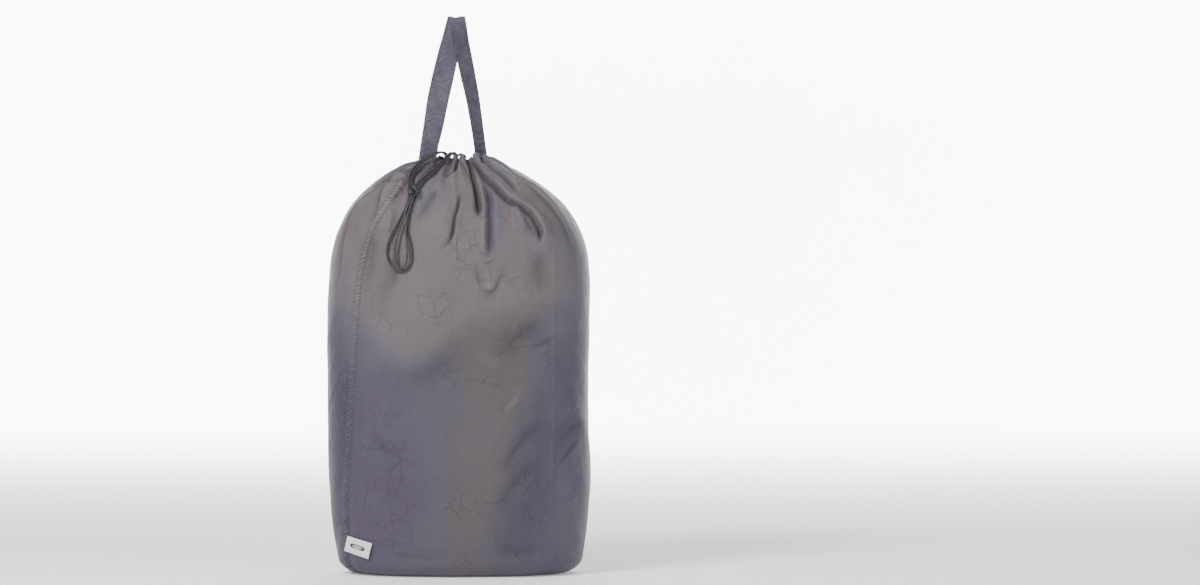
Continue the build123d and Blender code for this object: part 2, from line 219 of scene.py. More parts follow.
def grid_faces(rows: int, columns: int, start: int = 0, flip: bool = False) -> np.ndarray:
    """Quads of a grid of points, row by row.

    Args:
        rows: how many rows of points.
        columns: how many points in a row.
        start: index of the first point.
        flip: turn the faces over.

    Returns:
        One row of four indices to a quad.
    """
    index = np.arange(rows * columns).reshape(rows, columns) + start
    a, b, c, d = index[:-1, :-1], index[:-1, 1:], index[1:, 1:], index[1:, :-1]
    order = (a, d, c, b) if flip else (a, b, c, d)
    return np.stack([part.ravel() for part in order], axis=1)


def set_cloth_map(piece: bpy.types.Object, across: np.ndarray, along: np.ndarray) -> None:
    """Give a mesh a UV map in metres of flat cloth.

    Args:
        piece: the mesh object.
        across: first coordinate of each point.
        along: second coordinate of each point.
    """
    loops = np.zeros(len(piece.data.loops), int)
    piece.data.loops.foreach_get("vertex_index", loops)
    layer = piece.data.uv_layers.new(name="ClothMap")
    layer.data.foreach_set("uv", np.stack([across[loops], along[loops]], axis=1).ravel())


def set_value(piece: bpy.types.Object, name: str, values: np.ndarray) -> None:
    """Store one number to a point on a mesh, for its material to read."""
    layer = piece.data.attributes.new(name, "FLOAT", "POINT")
    layer.data.foreach_set("value", np.asarray(values, np.float32).ravel())


def slab(grid: np.ndarray, normals: np.ndarray, thickness: float) -> tuple[np.ndarray, np.ndarray]:
    """Turn a grid of points into a closed thin slab.

    Args:
        grid: rows x columns x 3 points of the outer face.
        normals: outward directions, shaped like grid.
        thickness: how far the inner face lies behind.

    Returns:
        Points and quads of the closed slab.
    """
    rows, columns = grid.shape[:2]
    outer = grid.reshape(-1, 3)
    inner = (grid - normals * thickness).reshape(-1, 3)
    count = rows * columns
    faces = [grid_faces(rows, columns), grid_faces(rows, columns, count, flip=True)]
    index = np.arange(count).reshape(rows, columns)
    border = np.concatenate([index[0, :], index[1:, -1], index[-1, -2::-1], index[-2:0:-1, 0]])
    after = np.roll(border, -1)
    faces.append(np.stack([border, border + count, after + count, after], axis=1))
    return np.vstack([outer, inner]), np.vstack(faces)


# ---------------------------------------------------------------- finishes


MULTIPLY = {"operation": "MULTIPLY"}

@dataclass(frozen=True)
class ShotCloth:
    """Plain-woven polyester with a soft water-repellent finish.

    The warp and the weft are dyed apart, a warm grey and a bluish purple, so the tone shifts from fold to
    fold. Here the tone is set by place, with painted light and shade that lighten the top and darken the
    hollows and sides. The eye gets a dull satin sheen, fine threads and small creases from being packed
    flat.
    """

    name: str = "woven_shot_polyester"
    warm: str = "#5c5558"
    purple: str = "#534c5d"
    blue: str = "#56535d"
    shade: str = "#463f51"
    light: str = "#686266"
    roughness: float = 0.50
    specular: float = 0.14
    sheen: float = 0.03
    thread_mm: float = 0.9      # real threads are 0.2 mm apart, drawn coarser so that they show
    crease_mm: float = 26.0
    crinkle_mm: float = 9.0
    tone_drift: float = 0.06

    def build(self) -> bpy.types.Material:
        """Make the material's nodes.

        Returns:
            The finished material.
        """
        material, tree, surface = new_material(self.name)
        place = add_node(tree, "TexCoord")
        cloth, solid = place.outputs["UV"], place.outputs["Object"]
        weave = self._weave(tree, cloth)
        dye_and_painted_light = self._dye_and_painted_light(tree, solid, self._brightness(tree, cloth, weave))
        tree.links.new(dye_and_painted_light, surface.inputs["Base Color"])
        swell = add_node(tree, "TexNoise", None, Vector=solid, Scale=24.0, Detail=2.0, Distortion=1.4)
        relief = self._relief(tree, solid, weave, swell.outputs["Fac"])
        tree.links.new(relief, surface.inputs["Normal"])
        smooth, rough = self.roughness - 0.06, self.roughness + 0.08
        matt = add_node(tree, "MapRange", None, Value=swell.outputs["Fac"], To_Min=smooth, To_Max=rough)
        tree.links.new(matt.outputs["Result"], surface.inputs["Roughness"])
        surface.inputs["Specular IOR Level"].default_value = self.specular
        surface.inputs["Sheen Weight"].default_value = self.sheen
        surface.inputs["Sheen Roughness"].default_value = 0.45
        surface.inputs["Sheen Tint"].default_value = linear("#cfc8dc")
        return material

    def _weave(self, tree: bpy.types.NodeTree, cloth: bpy.types.NodeSocket) -> bpy.types.NodeSocket:
        """Height of the threads.

        Args:
            tree: the material's node tree.
            cloth: places on the flat cloth.

        Returns:
            Waves for the warp and the weft, multiplied together.
        """
        bands = {"Vector": cloth, "Scale": self._bands(), "Distortion": 0.15, "Detail": 1.0}
        warp = add_node(tree, "TexWave", {"bands_direction": "X"}, **bands)
        weft = add_node(tree, "TexWave", {"bands_direction": "Y"}, **bands)
        both = add_node(tree, "Math", MULTIPLY, i0=warp.outputs["Fac"], i1=weft.outputs["Fac"])
        return both.outputs[0]

    def _brightness(
        self, tree: bpy.types.NodeTree, cloth: bpy.types.NodeSocket, weave: bpy.types.NodeSocket
    ) -> bpy.types.NodeSocket:
        """Brightness of the cloth: its stored painted light, shade and mottle, times the yarn's slubs and
        the weave.

        Args:
            tree: the material's node tree.
            cloth: places on the flat cloth.
            weave: height of the threads.

        Returns:
            A factor about 1.
        """
        slub = add_node(tree, "TexNoise", None, Vector=cloth, Scale=420.0, Detail=2.0, Roughness=0.7)
        yarn = slub.outputs["Fac"]
        grain = add_node(
            tree, "MapRange", None, Value=yarn, From_Min=0.3, From_Max=0.7, To_Min=0.93, To_Max=1.07
        )
        # Painted light and shade of the weave: brighter where the threads stand high
        lift = add_node(tree, "MapRange", None, Value=weave, To_Min=0.96, To_Max=1.05)
        both = add_node(tree, "Math", MULTIPLY, i0=grain.outputs["Result"], i1=lift.outputs["Result"])
        # The stored factor is painted light and shade, with a little random mottle
        painted_light_and_mottle = add_node(tree, "Attribute", {"attribute_name": "painted_light_and_mottle"}).outputs["Fac"]
        lit = add_node(tree, "Math", MULTIPLY, i0=both.outputs[0], i1=painted_light_and_mottle)
        return lit.outputs[0]

    def _dye_and_painted_light(
        self, tree: bpy.types.NodeTree, solid: bpy.types.NodeSocket, brightness: bpy.types.NodeSocket
    ) -> bpy.types.NodeSocket:
        """Colour of the shot cloth.

        Args:
            tree: the material's node tree.
            solid: places in the bag's own space.
            brightness: a factor about 1, holding painted light and shade.

        Returns:
            The colour at each place.
        """
        tone = add_node(tree, "Attribute", {"attribute_name": "tone"}).outputs["Fac"]
        drift = add_node(
            tree, "TexNoise", None, Vector=solid, Scale=7.0, Detail=3.0, Roughness=0.6, Distortion=0.8
        )
        spread = add_node(
            tree,
            "MapRange",
            {"clamp": True},
            Value=drift.outputs["Fac"],
            From_Min=0.38,
            From_Max=0.64,
            To_Min=-self.tone_drift,
            To_Max=self.tone_drift,
        )
        shift = add_node(tree, "Math", {"operation": "ADD"}, i0=tone, i1=spread.outputs["Result"])
        ramp = add_node(tree, "ValToRGB", None, Fac=shift.outputs[0])
        ramp.color_ramp.interpolation = "EASE"
        colours = (self.shade, self.purple, self.blue, self.warm, self.light)
        while len(ramp.color_ramp.elements) < len(colours):
            ramp.color_ramp.elements.new(0.5)
        for element, position, colour in zip(ramp.color_ramp.elements, (0.0, 0.3, 0.52, 0.75, 1.0), colours):
            element.position = position
            element.color = linear(colour)
        colour = ramp.outputs["Color"]
        lit = add_node(tree, "VectorMath", {"operation": "SCALE"}, i0=colour, Scale=brightness)
        return lit.outputs[0]

    def _relief(
        self,
        tree: bpy.types.NodeTree,
        solid: bpy.types.NodeSocket,
        weave: bpy.types.NodeSocket,
        swell: bpy.types.NodeSocket,
    ) -> bpy.types.NodeSocket:
        """Fine relief: the threads, a crisp finish's crinkle, soft swells and creases from packing.

        Args:
            tree: the material's node tree.
            solid: places in the bag's own space.
            weave: height of the threads.
            swell: height of the soft swells.

        Returns:
            The surface's direction at each place.
        """
        wander = add_node(tree, "TexNoise", None, Vector=solid, Scale=30.0, Detail=3.0, Roughness=0.6)
        bend = add_node(tree, "VectorMath", {"operation": "SCALE"}, i0=wander.outputs["Color"], Scale=0.03)
        bent = add_node(tree, "VectorMath", {"operation": "ADD"}, i0=solid, i1=bend.outputs[0])
        crease = add_node(
            tree,
            "TexVoronoi",
            {"feature": "DISTANCE_TO_EDGE"},
            Vector=bent.outputs[0],
            Scale=1 / (self.crease_mm * MM),
            Randomness=1.0,
        )
        edge = crease.outputs["Distance"]
        pressed = add_node(tree, "MapRange", None, Value=edge, From_Max=0.05, To_Min=1.0, To_Max=0.0)
        here = add_node(tree, "TexNoise", None, Vector=solid, Scale=13.0, Detail=1.0)
        some = add_node(tree, "MapRange", None, Value=here.outputs["Fac"], From_Min=0.5, From_Max=0.62)
        ridge = add_node(tree, "Math", MULTIPLY, i0=pressed.outputs["Result"], i1=some.outputs["Result"])
        crinkle = add_node(
            tree,
            "TexNoise",
            None,
            Vector=solid,
            Scale=1 / (self.crinkle_mm * MM),
            Detail=4.0,
            Roughness=0.55,
            Distortion=0.6,
        )
        bump = None
        for height, strength, distance in (
            (weave, 0.30, 0.0004),
            (crinkle.outputs["Fac"], 0.6, 0.0022),
            (swell, 0.06, 0.008),
            (ridge.outputs[0], 0.75, 0.0013),
        ):
            below = {"Normal": bump.outputs[0]} if bump is not None else {}
            bump = add_node(tree, "Bump", None, Height=height, Strength=strength, Distance=distance, **below)
        return bump.outputs[0]

    def _bands(self) -> float:
        """Wave scale that puts one band to a drawn thread on a map in metres."""
        return math.pi / (10 * self.thread_mm * MM)


@dataclass(frozen=True)
class SpunThread:
    """Spun polyester sewing thread, three-ply: dull, slightly hairy, twisted."""

    name: str = "spun_polyester_thread"
    colour: str = "#2e2a35"
    high: str = "#5a5462"
    twist_mm: float = 0.7

    def build(self) -> bpy.types.Material:
        """Make the material's nodes.

        Returns:
            The finished material.
        """
        material, tree, surface = new_material(self.name)
        solid = add_node(tree, "TexCoord").outputs["Object"]
        twist = add_node(
            tree,
            "TexWave",
            {"bands_direction": "DIAGONAL"},
            Vector=solid,
            Scale=math.pi / (10 * self.twist_mm * MM),
            Distortion=1.0,
        )
        low, high = linear(self.colour), linear(self.high)
        # Painted highlight along the twist: its bands run from the thread's colour to the lighter high
        # colour
        mix = add_node(tree, "Mix", {"data_type": "RGBA"}, Factor=twist.outputs["Fac"], i6=low, i7=high)
        tree.links.new(mix.outputs[2], surface.inputs["Base Color"])
        bump = add_node(tree, "Bump", None, Height=twist.outputs["Fac"], Strength=0.4, Distance=0.0002)
        tree.links.new(bump.outputs[0], surface.inputs["Normal"])
        surface.inputs["Roughness"].default_value = 0.7
        surface.inputs["Sheen Weight"].default_value = 0.2
        return material


@dataclass(frozen=True)
class BraidedCord:
    """Braided polyester cord, dyed near black: dull strands with small highlights where they cross."""

    name: str = "braided_polyester_cord"
    colour: str = "#151417"
    high: str = "#4b4a4e"
    fibre_mm: float = 0.5       # real fibres are far finer, drawn coarser so that they show

    def build(self) -> bpy.types.Material:
        """Make the material's nodes.

        Returns:
            The finished material.
        """
        material, tree, surface = new_material(self.name)
        solid = add_node(tree, "TexCoord").outputs["Object"]
        crown = add_node(tree, "Attribute", {"attribute_name": "crown"}).outputs["Fac"]
        fine = 1 / (self.fibre_mm * MM)
        fibre = add_node(tree, "TexNoise", None, Vector=solid, Scale=fine, Detail=3.0, Roughness=0.7)
        broken_highlight = add_node(tree, "MapRange", None, Value=fibre.outputs["Fac"], From_Min=0.35, From_Max=0.7)
        # Painted highlight on the crown of each strand, broken up by the fibres
        amount = add_node(tree, "Math", MULTIPLY, i0=broken_highlight.outputs["Result"], i1=crown)
        low, high = linear(self.colour), linear(self.high)
        mix = add_node(tree, "Mix", {"data_type": "RGBA"}, Factor=amount.outputs[0], i6=low, i7=high)
        tree.links.new(mix.outputs[2], surface.inputs["Base Color"])
        bump = add_node(tree, "Bump", None, Height=fibre.outputs["Fac"], Strength=0.5, Distance=0.0003)
        tree.links.new(bump.outputs[0], surface.inputs["Normal"])
        surface.inputs["Roughness"].default_value = 0.55
        surface.inputs["Specular IOR Level"].default_value = 0.4
        surface.inputs["Sheen Weight"].default_value = 0.03
        return material


@dataclass(frozen=True)
class WovenTape:
    """Woven satin label tape: bright, fine ribs across the tape and a soft gloss."""

    name: str = "woven_satin_tape"
    colour: str = "#dcdbdc"
    low: str = "#bdbcc0"
    rib_mm: float = 0.8         # real ribs are 0.3 mm apart, drawn coarser so that they show
    roughness: float = 0.45

    def build(self) -> bpy.types.Material:
        """Make the material's nodes.

        Returns:
            The finished material.
        """
        material, tree, surface = new_material(self.name)
        cloth = add_node(tree, "TexCoord").outputs["UV"]
        rib = add_node(
            tree,
            "TexWave",
            {"bands_direction": "Y"},
            Vector=cloth,
            Scale=math.pi / (10 * self.rib_mm * MM),
            Distortion=0.4,
            Detail=2.0,
        )
        pick = add_node(tree, "TexNoise", None, Vector=cloth, Scale=900.0, Detail=2.0)
        yarn = add_node(tree, "Math", MULTIPLY, i0=rib.outputs["Fac"], i1=pick.outputs["Fac"])
        top, low = linear(self.colour), linear(self.low)
        mix = add_node(tree, "Mix", {"data_type": "RGBA"}, Factor=yarn.outputs[0], i6=top, i7=low)
        tree.links.new(mix.outputs[2], surface.inputs["Base Color"])
        bump = add_node(tree, "Bump", None, Height=rib.outputs["Fac"], Strength=0.35, Distance=0.0002)
        tree.links.new(bump.outputs[0], surface.inputs["Normal"])
        surface.inputs["Roughness"].default_value = self.roughness
        surface.inputs["Sheen Weight"].default_value = 0.1
        return material


# ---------------------------------------------------------------- the bag's form


FOLD_GAIN = 1.5             # folds of the full bag against their drawn depths
CREASE_GAIN = 2.0           # sharp pressed lines are drawn deeper, so that they show
CREASE_SPREAD = 1.5         # and wider

# Folds and patches of the front are placed as they look from a point this far in front of the bag,
# this far to its right and this high, in metres
DRAWN_FROM, DRAWN_BESIDE, DRAWN_HEIGHT = 6.0, 0.2457, 0.482


class FoldKind(Enum):
    """The cross-section of a fold."""

    VALLEY = "valley"       # a rounded groove
    RIDGE = "ridge"         # a rounded rib
    LAP = "lap"             # cloth laid over itself: high on one side, a dark step on the other
    CREASE = "crease"       # a sharp pressed line


@dataclass(frozen=True)
class Fold:
    """One fold, drawn as a line seen from the front, or from the back with the same axes.

    path holds places in millimetres, across and up. width and depth are in millimetres too, and fade
    is the share of its length over which it rises at its start and dies at its end.
    """

    path: tuple[tuple[float, float], ...]
    width: float
    depth: float
    kind: FoldKind = FoldKind.VALLEY
    fade: tuple[float, float] = (0.15, 0.4)
    back: bool = False

    def height(self, x: np.ndarray, z: np.ndarray) -> np.ndarray:
        """How far the fold lifts or sinks the cloth.

        Args:
            x: places across, in metres.
            z: places up, in metres.

        Returns:
            Displacement along the surface normal, in metres.
        """
        line = smooth_line(np.array(self.path, float) * MM)
        sharp = self.kind is FoldKind.CREASE
        width = self.width * MM * (CREASE_SPREAD if sharp else 1.0)
        gain = CREASE_GAIN if sharp else FOLD_GAIN
        reach = 4 * width
        near = (x > line[:, 0].min() - reach) & (x < line[:, 0].max() + reach)
        near &= (z > line[:, 1].min() - reach) & (z < line[:, 1].max() + reach)
        lifted = np.zeros_like(x)
        if not near.any():
            return lifted
        place = np.stack([x[near], z[near]], axis=1)
        starts, runs = line[:-1], np.diff(line, axis=0)
        lengths = np.linalg.norm(runs, axis=1)
        before = np.concatenate([[0.0], np.cumsum(lengths)[:-1]])
        best = np.full(len(place), np.inf)
        offset = np.zeros(len(place))
        travelled = np.zeros(len(place))
        for start, run, length, passed in zip(starts, runs, lengths, before):
            gap = place - start
            t = np.clip((gap @ run) / length**2, 0.0, 1.0)
            away = gap - t[:, None] * run
            distance = np.hypot(away[:, 0], away[:, 1])
            side = np.sign(run[0] * gap[:, 1] - run[1] * gap[:, 0])
            closer = distance < best
            best[closer] = distance[closer]
            offset[closer] = (distance * side)[closer]
            travelled[closer] = (passed + t * length)[closer]
        share = travelled / lengths.sum()
        strength = np.ones(len(place))
        if self.fade[0] > 0:
            strength *= smoothstep(share / self.fade[0])
        if self.fade[1] > 0:
            strength *= smoothstep((1 - share) / self.fade[1])
        lifted[near] = gain * self.depth * MM * strength * self._profile(offset / width)
        return lifted

    def _profile(self, t: np.ndarray) -> np.ndarray:
        """Height across the fold.

        Args:
            t: distance from its line, in widths, above 0 on its left.

        Returns:
            Height as a share of the fold's depth.
        """
        if self.kind is FoldKind.VALLEY:
            return -np.exp(-(np.abs(t) ** 1.35))
        if self.kind is FoldKind.RIDGE:
            return np.exp(-(np.abs(t) ** 1.35))
        if self.kind is FoldKind.CREASE:
            return np.exp(-np.abs(t) * 1.5)
        step = 0.5 * (1 + np.tanh(t / 0.16))
        return 0.55 * np.exp(-((t / 2.0) ** 2)) * step - np.exp(-((t / 1.2) ** 2)) * (1 - step)


VALLEY, RIDGE, LAP, CREASE = FoldKind

# The folds of the front, from the gathers at the mouth down to the pressed lines near the base
FRONT_FOLDS: tuple[Fold, ...] = (
    # Gathers that run down from the mouth, left to right
    Fold(((-125, 664), (-104, 686), (-90, 687), (-73, 702), (-58, 709)), 4.0, -3.2, LAP, (0.2, 0.0)),
    Fold(((-66, 706), (-92, 676), (-125, 664), (-142, 615), (-177, 581)), 5.0, 3.8, LAP, (0.1, 0.5)),
    Fold(((-92, 690), (-140, 660), (-176, 626), (-194, 570), (-207, 469)), 3.6, 2.8, LAP, (0.2, 0.3)),
    Fold(((-26, 668), (-44, 648), (-60, 622), (-70, 596)), 7.0, 3.0, VALLEY, (0.2, 0.4)),
    Fold(((-79, 700), (-108, 684), (-134, 671), (-160, 652)), 4.0, 2.4, LAP, (0.2, 0.4)),
    Fold(((-96, 600), (-104, 560), (-112, 500), (-128, 470)), 5.0, 2.2, VALLEY, (0.3, 0.4)),
    Fold(((-90, 480), (-112, 452), (-140, 430)), 3.0, 1.2, RIDGE, (0.3, 0.4)),
    Fold(((-58, 708), (-84, 678), (-104, 650), (-120, 610)), 7.0, 3.0, VALLEY, (0.0, 0.6)),
    Fold(((-104, 640), (-112, 600), (-117, 560)), 4.0, 2.2, VALLEY, (0.3, 0.5)),
    Fold(((-36, 708), (-52, 690), (-66, 668), (-80, 640)), 6.0, 3.6, VALLEY, (0.0, 0.5)),
    Fold(((-47, 690), (-62, 664), (-76, 632), (-88, 596)), 5.0, 2.4, RIDGE, (0.2, 0.5)),
    Fold(((2, 708), (0, 696), (-8, 686), (-25, 679)), 4.0, 4.0, LAP, (0.0, 0.35)),
    Fold(((-8, 706), (-18, 694), (-26, 684)), 6.0, 2.2, VALLEY, (0.0, 0.5)),
    Fold(((9, 660), (5, 636), (-1, 612), (-8, 576), (-28, 548)), 5.0, 4.4, LAP, (0.25, 0.4)),
    Fold(((-12, 650), (-24, 610), (-34, 570)), 12.0, 2.4, RIDGE, (0.4, 0.5)),
    Fold(((19, 708), (26, 684), (32, 657), (37, 625), (33, 611)), 5.0, 9.0, VALLEY, (0.0, 0.22)),
    Fold(((16, 708), (22, 684), (27, 657), (31, 625)), 4.5, 3.0, RIDGE, (0.0, 0.4)),
    Fold(((26, 708), (35, 684), (42, 657), (47, 620)), 5.0, 2.6, RIDGE, (0.0, 0.5)),
    Fold(((46, 664), (47, 652), (49, 640)), 2.4, 1.8, VALLEY, (0.3, 0.4)),
    Fold(((50, 676), (56, 640), (57, 600), (56, 560), (53, 528)), 6.5, 5.2, VALLEY, (0.2, 0.3)),
    Fold(((43, 664), (46, 640), (46, 600), (45, 560), (44, 536)), 4.5, 3.0, RIDGE, (0.2, 0.3)),
    Fold(((64, 650), (68, 610), (70, 560)), 12.0, 2.2, RIDGE, (0.3, 0.5)),
    Fold(
        (
            (31, 708), (50, 684), (68, 668), (88, 647), (101, 640),
            (118, 630), (131, 620), (141, 605), (148, 588), (144, 566),
        ),
        6.0,
        7.0,
        LAP,
        (0.0, 0.12),
    ),
    Fold(((104, 630), (120, 610), (132, 590), (139, 570)), 7.0, 3.2, VALLEY, (0.3, 0.4)),
    Fold(((96, 640), (110, 615), (120, 592)), 9.0, 3.0, RIDGE, (0.3, 0.5)),
    Fold(((44, 711), (58, 698), (74, 687), (94, 671), (110, 656)), 5.5, 6.0, LAP, (0.0, 0.3)),
    Fold(((52, 712), (80, 696), (112, 674), (134, 652)), 5.0, 2.4, RIDGE, (0.1, 0.5)),
    Fold(((42, 704), (62, 690), (84, 672), (108, 655)), 4.0, 2.2, RIDGE, (0.1, 0.5)),
    Fold(((100, 686), (140, 656), (172, 622), (196, 574), (207, 520)), 5.0, 2.0, LAP, (0.3, 0.5)),
    Fold(((96, 667), (128, 640), (160, 604), (180, 560)), 12.0, 2.6, VALLEY, (0.3, 0.5)),
    # Soft hollows and loops below the gathers
    Fold(
        ((34, 540), (34, 521), (40, 500), (52, 482), (66, 488), (78, 516), (87, 540)),
        6.0,
        2.8,
        VALLEY,
        (0.3, 0.35),
    ),
    Fold(((34, 512), (42, 494), (52, 488), (64, 496), (74, 520)), 6.0, 1.6, RIDGE, (0.3, 0.4)),
    Fold(((46, 533), (56, 536), (67, 539)), 2.0, 1.4, LAP, (0.3, 0.4)),
    Fold(((148, 562), (142, 520), (150, 470)), 14.0, 2.4, VALLEY, (0.3, 0.5)),
    Fold(((-4, 583), (-3, 560), (-2, 536), (0, 512)), 1.8, 0.9, CREASE, (0.1, 0.1)),
    Fold(((19, 575), (20, 556), (19, 536)), 2.0, 0.8, CREASE, (0.2, 0.2)),
    Fold(((-3, 575), (2, 573), (6, 576)), 1.8, 0.8, CREASE, (0.1, 0.1)),
    Fold(((12, 574), (16, 572), (20, 575)), 1.8, 0.8, CREASE, (0.1, 0.1)),
    Fold(((-14, 510), (-6, 508), (4, 512)), 2.0, 0.8, CREASE, (0.2, 0.2)),
    Fold(((-140, 600), (-152, 540), (-158, 470)), 12.0, 2.6, VALLEY, (0.3, 0.5)),
    Fold(((-100, 560), (-128, 480), (-132, 420)), 16.0, 2.0, VALLEY, (0.3, 0.5)),
    Fold(((-60, 520), (-70, 450), (-84, 400)), 14.0, 1.4, RIDGE, (0.3, 0.5)),
    # Diagonal tension from the shoulders across the middle
    Fold(((173, 405), (143, 392), (112, 378)), 3.2, 1.8, VALLEY, (0.2, 0.4)),
    Fold(((173, 398), (150, 384), (126, 366)), 3.6, 1.6, RIDGE, (0.1, 0.5)),
    Fold(((150, 440), (100, 400), (60, 362)), 13.0, 2.4, VALLEY, (0.3, 0.5)),
    Fold(((-2, 340), (22, 334), (44, 330), (104, 309)), 3.0, 1.1, LAP, (0.2, 0.3)),
    Fold(((104, 309), (88, 292), (68, 272)), 5.0, 1.5, VALLEY, (0.1, 0.4)),
    Fold(((130, 330), (104, 300), (80, 262)), 14.0, 2.6, RIDGE, (0.3, 0.5)),
    Fold(((-64, 365), (-48, 360), (-32, 354)), 2.0, 1.0, CREASE, (0.2, 0.3)),
    Fold(((-108, 439), (-100, 447), (-92, 459)), 2.2, 1.1, CREASE, (0.2, 0.3)),
    Fold(((-17, 280), (-8, 275), (2, 274), (12, 278)), 2.0, 1.0, CREASE, (0.2, 0.2)),
    Fold(((-12, 268), (-6, 262), (4, 261)), 1.8, 0.8, CREASE, (0.2, 0.2)),
    Fold(((-15, 238), (-7, 232)), 1.8, 0.8, CREASE, (0.2, 0.2)),
    Fold(((-130, 380), (-100, 350), (-60, 336), (-20, 362), (20, 402)), 22.0, 2.2, VALLEY, (0.3, 0.4)),
    Fold(((118, 300), (96, 288), (84, 276)), 4.0, 1.4, RIDGE, (0.2, 0.4)),
    Fold(((150, 262), (118, 232), (92, 196), (80, 160)), 9.0, 2.2, VALLEY, (0.3, 0.4)),
    Fold(((206, 292), (186, 268), (172, 252)), 4.0, 1.8, RIDGE, (0.1, 0.4)),
    Fold(((208, 226), (188, 196), (172, 176)), 5.0, 1.8, LAP, (0.1, 0.4)),
    Fold(((206, 130), (180, 110), (166, 84)), 5.0, 1.6, RIDGE, (0.1, 0.4)),
    Fold(((-200, 300), (-176, 306), (-160, 300)), 4.0, 1.2, RIDGE, (0.2, 0.4)),
    Fold(((-170, 220), (-140, 214), (-118, 226)), 4.0, 1.2, LAP, (0.2, 0.4)),
    Fold(((-80, 180), (-48, 170), (-20, 180)), 4.0, 1.0, RIDGE, (0.3, 0.4)),
    Fold(((20, 130), (60, 122), (96, 132)), 4.0, 1.0, LAP, (0.3, 0.4)),
    # Pressed lines from being folded flat
    Fold(((168, 562), (167, 480), (168, 402), (168, 340), (166, 309)), 1.8, 0.9, CREASE, (0.1, 0.05)),
    Fold(((166, 309), (160, 302), (152, 295)), 2.2, 1.1, CREASE, (0.0, 0.3)),
    Fold(((165, 288), (164, 200), (163, 120), (160, 40)), 1.8, 0.8, CREASE, (0.05, 0.2)),
    Fold(((216, 316), (196, 312), (180, 308)), 3.0, 1.4, RIDGE, (0.0, 0.5)),
    Fold(((214, 262), (190, 240), (168, 214)), 7.0, 1.8, VALLEY, (0.1, 0.5)),
    Fold(((160, 200), (120, 172), (84, 130), (70, 84)), 12.0, 1.8, VALLEY, (0.3, 0.5)),
    Fold(((200, 160), (168, 128), (150, 92)), 9.0, 1.6, RIDGE, (0.2, 0.5)),
    Fold(((-150, 240), (-118, 206), (-84, 196)), 8.0, 1.4, VALLEY, (0.2, 0.5)),
    Fold(((-160, 130), (-120, 112), (-70, 120)), 10.0, 1.4, RIDGE, (0.2, 0.5)),
    Fold(((60, 40), (110, 34), (160, 46)), 9.0, 1.6, VALLEY, (0.3, 0.4)),
    Fold(((-120, 30), (-60, 24), (0, 30)), 9.0, 1.4, VALLEY, (0.3, 0.4)),
)


@dataclass(frozen=True)
class Patch:
    """A soft-edged area where the cloth's tone and its painted light and shade shift.

    Its place and size are in millimetres, and its lean is in degrees.
    """

    middle: tuple[float, float]
    size: tuple[float, float]
    lean: float
    tone: float
    painted_light_and_mottle: float = 0.0

    def weight(self, x: np.ndarray, z: np.ndarray) -> np.ndarray:
        """How much a place belongs to the patch.

        Args:
            x: places across, in metres.
            z: places up, in metres.

        Returns:
            A share from 0 outside to 1 well inside.
        """
        lean = math.radians(self.lean)
        dx, dz = x - self.middle[0] * MM, z - self.middle[1] * MM
        along = (dx * math.cos(lean) + dz * math.sin(lean)) / (self.size[0] * MM)
        across = (-dx * math.sin(lean) + dz * math.cos(lean)) / (self.size[1] * MM)
        return smoothstep((1.35 - np.sqrt(along**2 + across**2)) / 0.85)


# The tone shifts give the shot cloth's mottled colour and some painted shade, such as the dark strip at x 66
# beside the deep fold; the brightness shifts are painted light and shade
FRONT_PATCHES: tuple[Patch, ...] = (
    Patch((0, 520), (190, 190), 0, 0.17, -0.04),
    Patch((-10, 380), (120, 90), 35, 0.04, -0.03),
    Patch((90, 420), (120, 110), 60, 0.05, -0.05),
    Patch((-70, 230), (110, 170), 10, -0.06, -0.05),
    Patch((-130, 190), (70, 170), 0, -0.12, -0.02),
    Patch((50, 200), (84, 220), -8, 0.26, -0.05),
    Patch((140, 210), (52, 190), -16, -0.12, -0.13),
    Patch((190, 300), (40, 260), 0, -0.02, 0.12),
    Patch((66, 600), (16, 60), 3, -0.20, -0.06),
    Patch((-50, 640), (45, 30), 40, -0.14, 0.04),
    Patch((-150, 640), (60, 50), 40, 0.12, 0.04),
    Patch((-185, 480), (25, 120), 0, 0.05, 0.10),
    Patch((-205, 320), (25, 160), 0, -0.12, -0.14),
    Patch((150, 650), (60, 40), -40, 0.14, 0.14),
    Patch((110, 90), (80, 60), 20, -0.10, -0.02),
)


